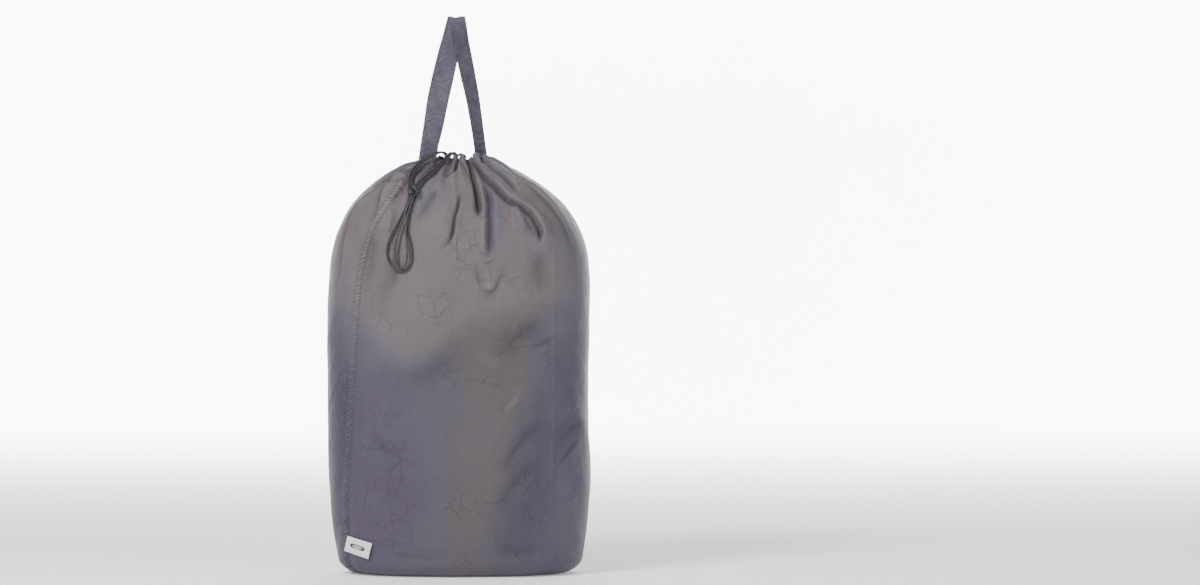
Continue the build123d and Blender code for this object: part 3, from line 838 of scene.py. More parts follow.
@dataclass
class BagForm:
    """The outer surface of the full bag, with every fold in it.

    The outline at each height is a rounded oval. Along the cloth, from the middle of the base over the
    side and shoulder to the mouth and down inside it, a place is given by its arc length.
    """

    half_width: float
    half_depth: float
    rim_height: float
    shoulder_height: float = 0.430
    roundness: float = 2.35
    shoulder_curve: float = 3.55
    shoulder_close: float = 1 / 1.35
    rim_half: tuple[float, float] = (0.048, 0.034)
    base_taper: float = 0.020
    base_taper_height: float = 0.180
    base_round: float = 0.026
    base_inset: float = 0.035
    depth_share: float = 0.85
    shift_heights: tuple[float, ...] = (0.0, 0.10, 0.30, 0.45, 0.56, 0.64, 0.70)
    shift_values: tuple[float, ...] = (0.006, 0.005, 0.001, 0.002, 0.004, 0.001, -0.006)
    seam_heights: tuple[float, ...] = (0.0, 0.074, 0.176, 0.297, 0.431, 0.572, 0.633, 0.676, 0.712)
    seam_turns: tuple[float, ...] = (17.0, 23.8, 28.2, 31.1, 33.3, 36.8, 42.8, 46.0, 47.0)
    lip: tuple[tuple[float, float, float], ...] = (
        (0.0455, 0.0315, 0.0008),
        (0.0415, 0.0275, -0.0002),
        (0.037, 0.0225, -0.003),
        (0.033, 0.0185, -0.009),
        (0.031, 0.0160, -0.017),
        (0.031, 0.0150, -0.027),
    )
    gathers: int = 17
    swell: float = 0.0017
    crumple: float = 0.0011
    fine_crumple: float = 0.00035
    rim_lump: float = 0.0017
    rim_wave: float = 0.0015
    seam_sink: float = 0.0014
    seam_pucker: float = 0.0008
    lowest: float = 0.0002
    back_folds: tuple[Fold, ...] = field(init=False)
    soft_gathers: tuple[Fold, ...] = field(init=False)

    def __post_init__(self) -> None:
        """Work out the profile's table and the folds of the back."""
        edge = np.linspace(0, self.base_round, 60)
        side = np.linspace(self.base_round, self.rim_height, 1500)[1:]
        heights = np.concatenate([edge, side])
        wide, deep = self.half_sizes(heights)
        shares = np.linspace(0.02, 1, 40)[:-1]
        lip = np.array(self.lip)
        self.wide = np.concatenate([shares * wide[0], wide, lip[:, 0]])
        self.deep = np.concatenate([shares * deep[0], deep, lip[:, 1]])
        self.level = np.concatenate([np.zeros(len(shares)), heights, self.rim_height + lip[:, 2]])
        middle = (self.wide + self.deep) / 2
        steps = np.hypot(np.diff(middle), np.diff(self.level))
        self.station = np.concatenate([[0.0], np.cumsum(steps)])
        self.shift = np.interp(self.level, self.shift_heights, self.shift_values)
        self.base_edge = float(self.station[len(shares)])
        self.rim_station = float(self.station[len(shares) + len(heights) - 1])
        fine = np.linspace(0, self.rim_height, 200)
        rough = np.interp(fine, self.seam_heights, self.seam_turns)
        kernel = np.ones(15) / 15
        eased = np.convolve(np.pad(rough, 7, mode="edge"), kernel, mode="valid")
        self.seam_table = (fine, np.radians(eased))
        self.back_folds = self._back_gathers()
        self.soft_gathers = self._soft_gathers()

    @classmethod
    def from_frame(cls) -> "BagForm":
        """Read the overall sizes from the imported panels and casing.

        Returns:
            The form with those sizes.
        """
        low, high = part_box("front_panel")
        back_low, back_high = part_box("back_panel")
        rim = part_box("front_casing")[1].z
        half_width = max(high.x, back_high.x, -low.x, -back_low.x)
        half_depth = max(back_high.y, -low.y)
        return cls(half_width, half_depth, rim)

    def half_sizes(self, heights: np.ndarray) -> tuple[np.ndarray, np.ndarray]:
        """Half width and half depth of the smooth form.

        Args:
            heights: levels above the floor.

        Returns:
            The half widths and the half depths, shaped like heights.
        """
        climb = np.clip((heights - self.shoulder_height) / (self.rim_height - self.shoulder_height), 0, 1)
        close = (1 - climb**self.shoulder_curve) ** self.shoulder_close
        taper = self.base_taper * np.clip(1 - heights / self.base_taper_height, 0, 1) ** 1.6
        edge = np.clip(1 - heights / self.base_round, 0, 1)
        inset = taper + self.base_inset * (1 - np.sqrt(1 - edge**2))
        wide = self.rim_half[0] + (self.half_width - self.rim_half[0]) * close - inset
        deep = self.rim_half[1] + (self.half_depth - self.rim_half[1]) * close - self.depth_share * inset
        return wide, deep

    def seam_turn(self, heights: np.ndarray) -> np.ndarray:
        """Angle of the seams from the X axis, seen from above, in radians."""
        return np.interp(heights, *self.seam_table)

    def level_at(self, stations: np.ndarray) -> np.ndarray:
        """Height of the smooth form at some arc lengths."""
        return np.interp(stations, self.station, self.level)

    def station_at(self, height: np.ndarray) -> np.ndarray:
        """Arc length at which the outside reaches a height."""
        outside = (self.station >= self.base_edge) & (self.station <= self.rim_station)
        return np.interp(height, self.level[outside], self.station[outside])

    def turn_at(self, x: np.ndarray, height: np.ndarray, back: bool = False) -> np.ndarray:
        """Angle at which the front, or the back, has a place across at a height.

        Args:
            x: places across.
            height: their heights.
            back: look on the back instead of the front.

        Returns:
            Angles seen from above, in radians.
        """
        wide, deep = self.half_sizes(np.asarray(height, float))
        middle = np.interp(height, self.shift_heights, self.shift_values)
        share = np.clip(np.abs((x - middle) / wide), 0, 0.9999)
        y = deep * (1 - share**self.roundness) ** (1 / self.roundness)
        return np.arctan2(y if back else -y, x - middle)

    def smooth(self, turns: np.ndarray, stations: np.ndarray) -> np.ndarray:
        """Points of the form without its folds.

        Args:
            turns: angles seen from above, in radians.
            stations: arc lengths, shaped like turns.

        Returns:
            The points, with coordinates in the last axis.
        """
        wide = np.interp(stations, self.station, self.wide)
        deep = np.interp(stations, self.station, self.deep)
        level = np.interp(stations, self.station, self.level)
        middle = np.interp(stations, self.station, self.shift)
        across, along = np.abs(np.cos(turns)), np.abs(np.sin(turns))
        power = self.roundness
        radius = ((across / wide) ** power + (along / deep) ** power) ** (-1 / power)
        return np.stack([middle + radius * np.cos(turns), radius * np.sin(turns), level], axis=-1)

    def normals(self, turns: np.ndarray, stations: np.ndarray) -> np.ndarray:
        """Outward directions of the form without its folds.

        Args:
            turns: angles seen from above, in radians.
            stations: arc lengths, shaped like turns.

        Returns:
            Unit vectors, with coordinates in the last axis.
        """
        step, rise = 2e-3, 1.5e-3
        round_it = self.smooth(turns + step, stations) - self.smooth(turns - step, stations)
        up_it = self.smooth(turns, stations + rise) - self.smooth(turns, stations - rise)
        normal = np.cross(round_it, up_it)
        return normal / np.linalg.norm(normal, axis=-1, keepdims=True)

    def surface(
        self, turns: np.ndarray, stations: np.ndarray, lift: float | np.ndarray = 0.0
    ) -> tuple[np.ndarray, np.ndarray]:
        """Points on the folded cloth.

        Args:
            turns: angles seen from above, in radians.
            stations: arc lengths, shaped like turns.
            lift: how far off the cloth, in metres.

        Returns:
            The points, and the outward directions of the smooth form there.
        """
        points = self.smooth(turns, stations)
        normals = self.normals(turns, stations)
        relief = self.relief(turns, stations, points) + lift
        moved = points + normals * relief[..., None]
        from_rim = stations - self.rim_station
        wavy = 0.5 + 0.5 * np.cos(self.gathers * turns + 0.5 * np.sin(3 * turns + 1.0))
        # The rim stands a little higher at the front, where the cord comes out
        before = smoothstep((points[..., 0] + 0.046) / 0.016) * smoothstep((0.020 - points[..., 0]) / 0.016)
        before = before * smoothstep(-points[..., 1] / 0.01)
        raised = 0.0018 * wavy + 0.0042 * before * (0.6 + 0.4 * wavy)
        moved[..., 2] += raised * np.exp(-((from_rim / 0.009) ** 2))
        moved[..., 2] = np.maximum(moved[..., 2], self.lowest)
        return moved, normals

    def fold_relief(self, points: np.ndarray) -> np.ndarray:
        """Height of the listed folds and gathers alone.

        Args:
            points: places on the smooth form.

        Returns:
            Heights over it, in metres.
        """
        x, y, z = points[..., 0], points[..., 1], points[..., 2]
        total = np.zeros_like(x)
        flat_x, flat_z = x.ravel(), z.ravel()
        front_near = DRAWN_FROM / (DRAWN_FROM + y.ravel())
        for folds, share, near in (
            (FRONT_FOLDS + self.soft_gathers, smoothstep(-y / 0.02), front_near),
            (self.back_folds, smoothstep(y / 0.02), 1.0),
        ):
            if share.any():
                seen_x = DRAWN_BESIDE + (flat_x - DRAWN_BESIDE) * near
                seen_z = DRAWN_HEIGHT + (flat_z - DRAWN_HEIGHT) * near
                for fold in folds:
                    total += fold.height(seen_x, seen_z).reshape(x.shape) * share
        return total

    def relief(self, turns: np.ndarray, stations: np.ndarray, points: np.ndarray) -> np.ndarray:
        """Height of every fold, gather, pucker and swell over the smooth form.

        Args:
            turns: angles seen from above, in radians.
            stations: arc lengths, shaped like turns.
            points: the smooth form's points there.

        Returns:
            Heights over it, in metres.
        """
        x, y, z = points[..., 0], points[..., 1], points[..., 2]
        total = self.fold_relief(points)
        # Slow swells of a soft filling, and the shallow crumple of thin cloth
        girth = np.cos(turns) * 2.2 + 5, np.sin(turns) * 2.2 + 5
        total += self.swell * soft_noise(girth[0] * 1.3, z * 7 + girth[1], 11)
        total += self.crumple * soft_noise(x * 26 + z * 9, z * 17 + y * 24, 12)
        total += self.fine_crumple * soft_noise(x * 80 - z * 22, z * 60 + y * 80, 13)
        # Gathers at the mouth
        from_rim = np.abs(stations - self.rim_station)
        wander = 0.5 * np.sin(3 * turns + 1.0) + 0.35 * np.sin(5 * turns)
        lumps = np.cos(self.gathers * turns + wander) + 0.5 * np.cos((self.gathers + 6) * turns + 2.1)
        total += self.rim_lump * lumps * np.exp(-from_rim / 0.016)
        total += self.rim_wave * np.cos(self.gathers * turns + wander) * np.exp(-((from_rim / 0.05) ** 2))
        # The seams pull the cloth in and pucker it
        turn = self.seam_turn(z)
        radius = np.hypot(x, y)
        for seam in (turn + math.pi, turn):
            gap = np.angle(np.exp(1j * (turns - seam))) * radius
            pull = np.exp(-np.abs(gap) / np.where(gap < 0, 0.020, 0.010))
            wave = np.sin(stations / 0.0021 + 3 * soft_noise(stations / 0.03, gap / 0.02, 14) + gap / 0.004)
            total += -self.seam_sink * np.exp(-((gap / 0.010) ** 2)) + self.seam_pucker * wave * pull
        weight = smoothstep((stations - self.base_edge) / 0.02)
        return total * weight

    def _soft_gathers(self) -> tuple[Fold, ...]:
        """Shallow gathers between the listed ones of the front.

        Returns:
            The gathers.
        """
        random = np.random.default_rng(8)
        levels = (0.712, 0.706, 0.694, 0.676, 0.650, 0.612, 0.565)
        folds = []
        for index in range(26):
            start = -0.97 + 1.94 * index / 25 + random.uniform(-0.02, 0.02)
            count = int(random.integers(4, len(levels) + 1))
            path = []
            for level in levels[:count]:
                wide = float(self.half_sizes(np.array(level - 0.0001))[0])
                middle = float(np.interp(level, self.shift_heights, self.shift_values))
                path.append(((middle + start * wide) / MM, level / MM))
            kind = VALLEY if index % 2 else RIDGE
            width, depth = random.uniform(3.0, 5.0), random.uniform(0.9, 1.7)
            folds.append(Fold(tuple(path), width, depth, kind, (0.0, 0.6)))
        return tuple(folds)

    def _back_gathers(self) -> tuple[Fold, ...]:
        """Gathers of the back, which fan out from the mouth like those of the front.

        Returns:
            The gathers, then three pressed lines and some soft hollows.
        """
        random = np.random.default_rng(21)
        levels = (0.709, 0.698, 0.680, 0.655, 0.620, 0.575, 0.520)
        folds = []
        kinds = (VALLEY, LAP, VALLEY, RIDGE, VALLEY, LAP, RIDGE, VALLEY, LAP, VALLEY, RIDGE, VALLEY)
        for index, kind in enumerate(kinds):
            start = -0.92 + 1.84 * index / (len(kinds) - 1) + random.uniform(-0.05, 0.05)
            drift = random.uniform(-0.12, 0.12)
            count = int(random.integers(4, len(levels) + 1))
            path = []
            for step, level in enumerate(levels[:count]):
                wide = float(self.half_sizes(np.array(level))[0])
                middle = float(np.interp(level, self.shift_heights, self.shift_values))
                share = start + drift * step / len(levels)
                path.append(((middle + np.clip(share, -0.97, 0.97) * wide) / MM, level / MM))
            width = random.uniform(5.0, 9.0)
            depth = random.uniform(3.0, 6.5) * (0.7 if kind is RIDGE else 1.0)
            folds.append(Fold(tuple(path), width, depth, kind, (0.0, 0.5), True))
        for x, low, high in ((-160, 60, 560), (164, 40, 520), (4, 300, 600)):
            path = ((x, high), (x + 2, (low + high) / 2), (x - 1, low))
            folds.append(Fold(path, 1.8, 0.9, CREASE, (0.1, 0.2), True))
        for _ in range(14):
            x, z = random.uniform(-170, 170), random.uniform(60, 520)
            lean = random.uniform(-60, 60)
            middle, end = z - random.uniform(10, 30), z - random.uniform(30, 60)
            path = ((x, z), (x + lean * 0.5, middle), (x + lean, end))
            width, depth = random.uniform(5, 13), random.uniform(1.0, 2.2)
            folds.append(Fold(path, width, depth, VALLEY, (0.3, 0.5), True))
        return tuple(folds)

    def shades(self, points: np.ndarray) -> tuple[np.ndarray, np.ndarray]:
        """Tone and brightness of the cloth at some points, with painted light and shade in both.

        Args:
            points: rows of coordinates.

        Returns:
            The tone, from 0 for shade to 1 for light, and a factor of brightness about 1.
        """
        x, y, z = points[..., 0], points[..., 1], points[..., 2]
        front = smoothstep(-y / 0.02 + 0.3)
        # Painted light: the upper area is lighter in tone and brightness and ends in a blunt V below the
        # middle; the back lightens towards the top
        rise = np.where(x < -0.084, (-0.084 - x) * 1.16, (x + 0.084) * 0.82)
        border = 0.341 + np.minimum(rise, 0.095) + 0.016 * soft_noise(x * 22, z * 22, 33)
        upper = smoothstep((z - border + 0.03) / 0.07) * front
        upper += smoothstep((z - 0.20) / 0.40) * (1 - front)
        tone = 0.44 + 0.12 * upper
        painted_light_and_mottle = 0.82 + 0.24 * upper
        for patch in FRONT_PATCHES:
            weight = patch.weight(x, z) * front
            tone += patch.tone * weight
            painted_light_and_mottle += patch.painted_light_and_mottle * weight
        # Painted shade: darker towards both sides
        painted_light_and_mottle *= 1 - 0.16 * smoothstep((np.abs(x) - 0.12) / 0.10)
        # Painted shade in the folds' hollows and painted light on their ridges
        fold = self.fold_relief(points) / 0.006
        painted_light_and_mottle *= 1 + 0.42 * np.clip(fold, -1, 0) + 0.10 * np.clip(fold, 0, 1)
        back = 1 - front
        tone += back * 0.16 * soft_noise(x * 7 + z * 3 + 3, z * 6 - x * 2, 31)
        painted_light_and_mottle += back * 0.04 * soft_noise(x * 6 + 9, z * 5, 32)
        return tone, painted_light_and_mottle


def stitch_mesh(
    starts: np.ndarray, ends: np.ndarray, ups: np.ndarray, radius: float
) -> tuple[np.ndarray, np.ndarray, np.ndarray]:
    """Small rounded stitches between pairs of points.

    Args:
        starts: where each stitch goes in.
        ends: where it comes out.
        ups: outward direction at each stitch.
        radius: thread radius.

    Returns:
        Points, quads and end faces of all the stitches.
    """
    along = ends - starts
    along /= np.linalg.norm(along, axis=1, keepdims=True)
    side = np.cross(along, ups)
    side /= np.linalg.norm(side, axis=1, keepdims=True)
    up = np.cross(side, along)
    sides = 6
    # Rings along a stitch: how far along, how thick and how high, in thread radii
    stations = ((0.0, 0.35, -0.6), (0.14, 0.95, 0.1), (0.5, 1.0, 0.45), (0.86, 0.95, 0.1), (1.0, 0.35, -0.6))
    rings = []
    for share, scale, rise in stations:
        middle = starts + (ends - starts) * share + up * radius * rise
        for step in range(sides):
            angle = 2 * math.pi * step / sides
            rings.append(middle + radius * scale * (math.cos(angle) * side + math.sin(angle) * up))
    count, per = len(starts), len(stations) * sides
    points = np.stack(rings, axis=1).reshape(-1, 3)
    quads = []
    for ring in range(len(stations) - 1):
        this, following = ring * sides, (ring + 1) * sides
        for step in range(sides):
            after = (step + 1) % sides
            quads.append((this + step, this + after, following + after, following + step))
    last = (len(stations) - 1) * sides
    caps = [tuple(reversed(range(sides))), tuple(range(last, last + sides))]
    shift = (np.arange(count) * per)[:, None, None]
    all_quads = (np.array(quads)[None] + shift).reshape(-1, 4)
    all_caps = (np.array(caps)[None] + shift).reshape(-1, sides)
    return points, all_quads, all_caps


def stitch_piece(
    name: str,
    lines: list[tuple[np.ndarray, np.ndarray]],
    material: bpy.types.Material,
    pitch: float = 3.0,
    radius: float = 0.34,
) -> bpy.types.Object:
    """One piece that holds rows of single stitches.

    Args:
        name: the piece's name.
        lines: for each row, its points and the outward directions there.
        material: the thread's finish.
        pitch: from stitch to stitch, in millimetres.
        radius: of the thread, in millimetres.

    Returns:
        The new object.
    """
    starts, ends, ups = [], [], []
    for points, normals in lines:
        lengths = np.concatenate([[0.0], np.cumsum(np.linalg.norm(np.diff(points, axis=0), axis=1))])
        marks = np.arange(0, lengths[-1] - pitch * MM, pitch * MM)
        for begin, share in ((starts, 0.08), (ends, 0.86)):
            at = marks + share * pitch * MM
            begin.append(np.stack([np.interp(at, lengths, points[:, k]) for k in range(3)], axis=1))
        middle = marks + 0.5 * pitch * MM
        ups.append(np.stack([np.interp(middle, lengths, normals[:, k]) for k in range(3)], axis=1))
    points, quads, caps = stitch_mesh(np.vstack(starts), np.vstack(ends), np.vstack(ups), radius * MM)
    return mesh_piece(name, points, quads.tolist() + caps.tolist(), material)


# ---------------------------------------------------------------- sub-assemblies


MEAN_RADIUS = 0.19          # of the full bag, to lay its girth out flat

@dataclass
class BagBody:
    """The two sewn panels and the gathered casing round the mouth."""

    form: BagForm
    cloth: bpy.types.Material
    thread: bpy.types.Material
    front_columns: int = 340
    back_columns: int = 300
    base_rows: int = 12
    side_rows: int = 112
    shoulder_rows: int = 168
    casing_rows: int = 56
    first_row: float = 0.004
    casing_foot: float = 0.700
    flat_width: float = 0.60
    flat_length: float = 0.93

    def build(self) -> None:
        """Make the panels and the casing and hang them on the bag's body."""
        form = self.form
        foot = float(form.station_at(self.casing_foot))
        shoulder = float(form.station_at(form.shoulder_height))
        rows = np.concatenate(
            [
                np.linspace(self.first_row, form.base_edge, self.base_rows)[:-1],
                np.linspace(form.base_edge, shoulder, self.side_rows)[:-1],
                np.linspace(shoulder, foot, self.shoulder_rows),
            ]
        )
        rim_rows = np.linspace(foot, form.station[-1], self.casing_rows)
        for name, start, end, columns in (
            ("front", math.pi, 2 * math.pi, self.front_columns),
            ("back", 0.0, math.pi, self.back_columns),
        ):
            panel = self._sheet(f"{name}_panel_cloth", rows, start, end, columns)
            dress(panel, "bag", f"{name}_panel")
            casing = self._sheet(f"{name}_casing_hem", rim_rows, start, end, columns)
            dress(casing, "bag", f"{name}_casing")
            LOG.info("%s panel and casing: %d x %d points", name, len(rows) + len(rim_rows), columns)
        self._casing_stitches(foot)

    def _sheet(
        self, name: str, rows: np.ndarray, start: float, end: float, columns: int
    ) -> bpy.types.Object:
        """One sheet between the two seams.

        Args:
            name: the piece's name.
            rows: arc lengths of its rows.
            start: angle of its first seam without the seam's own turn.
            end: angle of its last seam without that turn.
            columns: points in a row.

        Returns:
            The new object.
        """
        form = self.form
        turn = form.seam_turn(form.level_at(rows))
        share = np.linspace(0, 1, columns)
        turns = (start + turn)[:, None] + (end - start) * share[None, :]
        stations = np.repeat(rows[:, None], columns, axis=1)
        grid, _ = form.surface(turns, stations)
        points = grid.reshape(-1, 3)
        piece = mesh_piece(name, points, grid_faces(len(rows), columns), self.cloth)
        tone, painted_light_and_mottle = form.shades(form.smooth(turns, stations))
        set_value(piece, "tone", tone)
        set_value(piece, "painted_light_and_mottle", painted_light_and_mottle)
        set_cloth_map(piece, (turns * MEAN_RADIUS).ravel(), stations.ravel())
        return piece

    def _casing_stitches(self, foot: float) -> None:
        """The row of stitches that closes the casing.

        Args:
            foot: arc length of the casing's lower edge.
        """
        turns = np.linspace(0, 2 * math.pi, 900)
        points, normals = self.form.surface(turns, np.full_like(turns, foot + 0.0015), 0.0002)
        piece = stitch_piece("casing_stitches", [(points, normals)], self.thread)
        dress(piece, "bag", "casing_thread")


@dataclass
class SideSeams:
    """The flat-felled side seams with their two rows of stitches each."""

    form: BagForm
    cloth: bpy.types.Material
    thread: bpy.types.Material
    width: float = 0.012
    rise: float = 0.0014
    inset: float = 0.0017
    pucker: float = 0.0009
    row_step: float = 0.0010
    columns: int = 15
    foot: float = 0.004
    top: float = 0.706

    def build(self) -> None:
        """Make both seams."""
        for name, base in (("left", math.pi), ("right", 0.0)):
            self._seam(name, base)

    def _seam(self, name: str, base: float) -> None:
        """One seam: the folded strip, and its stitches.

        Args:
            name: left or right.
            base: angle of the seam without its own turn.
        """
        form = self.form
        low, high = float(form.station_at(self.foot)), float(form.station_at(self.top))
        rows = np.arange(low, high, self.row_step)
        level = form.level_at(rows)
        seam = base + form.seam_turn(level)
        here = form.smooth(seam, rows)
        radius = np.hypot(here[:, 0], here[:, 1])
        # Each fold lies to the left of its seam line, seen from outside
        share = np.linspace(0, 1, self.columns)
        turns = seam[:, None] - (share[None, :] * self.width) / radius[:, None]
        stations = np.repeat(rows[:, None], self.columns, axis=1)
        edge = np.minimum(share, 1 - share) * self.width
        body = smoothstep(edge / 0.0012)
        rows_of_stitches = (self.inset / self.width, 1 - self.inset / self.width)
        groove = sum(np.exp(-(((share - mark) * self.width / 0.0009) ** 2)) for mark in rows_of_stitches)
        across = share[None, :] * self.width
        uneven = 2.6 * soft_noise(stations / 0.011, across / 0.006, 41)
        wave = np.sin(stations / 0.00105 + across / 0.0022 + uneven)
        swell = soft_noise(stations / 0.0045, across / 0.005, 42)
        inner = smoothstep((edge - 0.0008) / 0.0024)
        lift = self.rise * body - 0.0010 * groove
        lift = lift[None, :] + self.pucker * inner[None, :] * (wave + 0.9 * swell)
        grid, normals = form.surface(turns, stations, np.maximum(lift, 0.00005) + 0.0002)
        points, faces = slab(grid[:, ::-1], normals[:, ::-1], 0.0006)
        strip = mesh_piece(f"{name}_felled_fold", points, faces, self.cloth)
        smooth = form.smooth(turns, stations)[:, ::-1].reshape(-1, 3)
        tone, painted_light_and_mottle = form.shades(np.vstack([smooth] * 2))
        shading = (1.14 + 0.20 * wave * inner[None, :] - 0.42 * groove[None, :])[:, ::-1]
        painted_light_and_mottle *= np.tile(shading.ravel(), 2)
        set_value(strip, "tone", tone + 0.04)
        set_value(strip, "painted_light_and_mottle", painted_light_and_mottle)
        girth = (turns * MEAN_RADIUS)[:, ::-1].ravel()
        set_cloth_map(strip, np.tile(girth, 2), np.tile(stations[:, ::-1].ravel(), 2))
        dress(strip, "bag", f"{name}_felled_seam")
        lines = []
        for mark in rows_of_stitches:
            column = seam - mark * self.width / radius
            lines.append(form.surface(column, rows, self.rise * 0.75))
        stitches = stitch_piece(f"{name}_seam_stitches", lines, self.thread)
        dress(stitches, "bag", f"{name}_seam_thread")
        LOG.info("%s seam: %d rows", name, len(rows))


@dataclass
class BaseSeam:
    """The felled seam across the base, inside the bag."""

    cloth: bpy.types.Material
    thread: bpy.types.Material
    width: float = 0.012
    height: float = 0.0022
    columns: int = 11
    # How far the fold's own width spreads its box, across and along X
    spread: tuple[float, float] = (0.011, 0.004)

    def build(self) -> None:
        """Make the fold and its stitches on the inside of the base."""
        low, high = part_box("bottom_felled_seam")
        turn = math.atan2(high.y - low.y - self.spread[0], high.x - low.x - self.spread[1])
        reach = 0.5 * math.hypot(high.x - low.x, high.y - low.y) - self.spread[1]
        along = np.array([math.cos(turn), math.sin(turn), 0.0])
        across = np.array([-math.sin(turn), math.cos(turn), 0.0])
        run = np.linspace(-reach, reach, 240)
        share = np.linspace(-0.5, 0.5, self.columns)
        lift = 0.001 * smoothstep((0.5 - np.abs(share)) / 0.12)[None, :]
        lift = lift + 0.0003 * soft_noise(run[:, None] / 0.006, share[None, :] * 3, 51)
        grid = run[:, None, None] * along + (share * self.width)[None, :, None] * across
        grid = grid + np.array([0, 0, self.height]) + lift[..., None] * np.array([0, 0, 1.0])
        up = np.zeros_like(grid)
        up[..., 2] = 1.0
        points, faces = slab(grid[:, ::-1], up, 0.0008)
        fold = mesh_piece("base_felled_fold", points, faces, self.cloth)
        set_value(fold, "tone", np.full(len(points), 0.45))
        set_value(fold, "painted_light_and_mottle", np.ones(len(points)))
        set_cloth_map(fold, points[:, 0], points[:, 1])
        dress(fold, "bag", "bottom_felled_seam")
        lines = []
        for side in (-0.36, 0.36):
            row = run[:, None] * along + side * self.width * across + np.array([0, 0, self.height + 0.001])
            lines.append((row, np.tile([0.0, 0.0, 1.0], (len(run), 1))))
        stitches = stitch_piece("base_seam_stitches", lines, self.thread)
        dress(stitches, "bag", "bottom_seam_thread")


TUBE_STEP = 0.00055         # from ring to ring of a cord, close enough to show the braid


def tube(
    path: np.ndarray, radius: float, sides: int = 16, lobes: int = 4, pitch: float = 0.0052
) -> tuple[np.ndarray, list[list[int]], np.ndarray]:
    """A braided tube along a line.

    Args:
        path: points of the line, evenly close.
        radius: outer radius.
        sides: points round it.
        lobes: strands of the braid that show round it, each way.
        pitch: length of one turn of a strand over its lobes.

    Returns:
        Points, faces and the crown value of each point, which is 1 on top of a strand.
    """
    steps = np.linalg.norm(np.diff(path, axis=0), axis=1)
    length = np.concatenate([[0.0], np.cumsum(steps)])
    count = max(8, int(length[-1] / TUBE_STEP))
    even = np.linspace(0, length[-1], count)
    line = np.stack([np.interp(even, length, path[:, k]) for k in range(3)], axis=1)
    ahead = np.gradient(line, axis=0)
    ahead /= np.linalg.norm(ahead, axis=1, keepdims=True)
    side = np.cross(ahead[0], [0.3, 0.5, 0.8])
    frames = []
    for direction in ahead:
        side = side - direction * (side @ direction)
        side = side / np.linalg.norm(side)
        frames.append(side)
    side = np.array(frames)
    up = np.cross(ahead, side)
    angle = np.linspace(0, 2 * math.pi, sides, endpoint=False)
    turn = lobes * angle[None, :]
    slide = 2 * math.pi * even[:, None] / pitch
    crown = np.maximum(np.cos(turn + slide), np.cos(turn - slide))
    taper = np.minimum(1.0, np.minimum(even, even[-1] - even)[:, None] / (radius * 0.6) + 0.55)
    reach = radius * (0.95 + 0.05 * crown) * taper
    ring = np.cos(angle)[None, :, None] * side[:, None, :] + np.sin(angle)[None, :, None] * up[:, None, :]
    points = (line[:, None, :] + reach[..., None] * ring).reshape(-1, 3)
    index = np.arange(count * sides).reshape(count, sides)
    after = np.roll(index, -1, axis=1)
    quads = np.stack([index[:-1], after[:-1], after[1:], index[1:]], axis=-1).reshape(-1, 4).tolist()
    quads.append(index[0][::-1].tolist())
    quads.append(index[-1].tolist())
    return points, quads, (0.5 + 0.5 * crown).ravel()


def nurbs_points(route: tuple[tuple[float, float, float], ...], steps: int = 24) -> np.ndarray:
    """The smooth line of a cord's route.

    Args:
        route: its control points, in metres.
        steps: how finely it is read.

    Returns:
        Points along the NURBS spline that has the route as its control points.
    """
    data = bpy.data.curves.new("route", "CURVE")
    data.dimensions = "3D"
    data.resolution_u = steps
    spline = data.splines.new("NURBS")
    spline.points.add(len(route) - 1)
    for point, place in zip(spline.points, route):
        point.co = (*place, 1.0)
    spline.order_u = 3
    spline.use_endpoint_u = True
    spline.resolution_u = steps
    holder = bpy.data.objects.new("route", data)
    mesh = bpy.data.meshes.new_from_object(holder)
    line = np.array([vertex.co for vertex in mesh.vertices], float)
    bpy.data.objects.remove(holder)
    bpy.data.curves.remove(data)
    bpy.data.meshes.remove(mesh)
    return line


def in_metres(route: tuple[tuple[float, float, float], ...]) -> tuple[tuple[float, float, float], ...]:
    """Bring a route from millimetres to metres."""
    return tuple((x * MM, y * MM, z * MM) for x, y, z in route)


# Where the cord comes out of the casing, and its two bights from exit to exit, in millimetres
EXIT_TOP = 714.6

LEFT_BIGHT = (
    (-19.2, -24.0, EXIT_TOP),
    (-20.2, -27.6, 720.0),
    (-27.0, -34.6, 723.8),
    (-41.2, -42.0, 719.6),
    (-56.6, -47.6, 710.4),
    (-69.2, -60.2, 698.6),
    (-77.6, -75.6, 685.2),
    (-79.2, -88.6, 673.2),
    (-77.6, -101.6, 661.6),
    (-77.6, -113.4, 643.6),
    (-81.4, -118.6, 628.0),
    (-89.6, -123.0, 611.0),
    (-97.6, -126.2, 595.6),
    (-107.4, -128.0, 577.6),
    (-113.4, -129.9, 560.0),
    (-113.8, -132.3, 542.4),
    (-107.2, -135.6, 527.4),
    (-95.2, -138.9, 518.4),
    (-82.2, -141.4, 518.6),
    (-73.4, -142.1, 529.4),
    (-71.0, -140.6, 547.4),
    (-73.6, -137.5, 566.0),
    (-79.0, -133.0, 584.4),
    (-81.4, -127.2, 603.4),
    (-77.4, -119.8, 625.4),
    (-73.0, -113.4, 644.0),
    (-71.2, -101.6, 662.4),
    (-74.8, -89.8, 673.2),
    (-73.2, -77.4, 684.8),
    (-65.2, -63.4, 697.8),
    (-53.4, -50.8, 709.4),
    (-38.4, -45.6, 718.4),
    (-24.6, -37.6, 723.2),
    (-16.6, -29.0, 720.4),
    (-14.8, -24.0, EXIT_TOP),
)
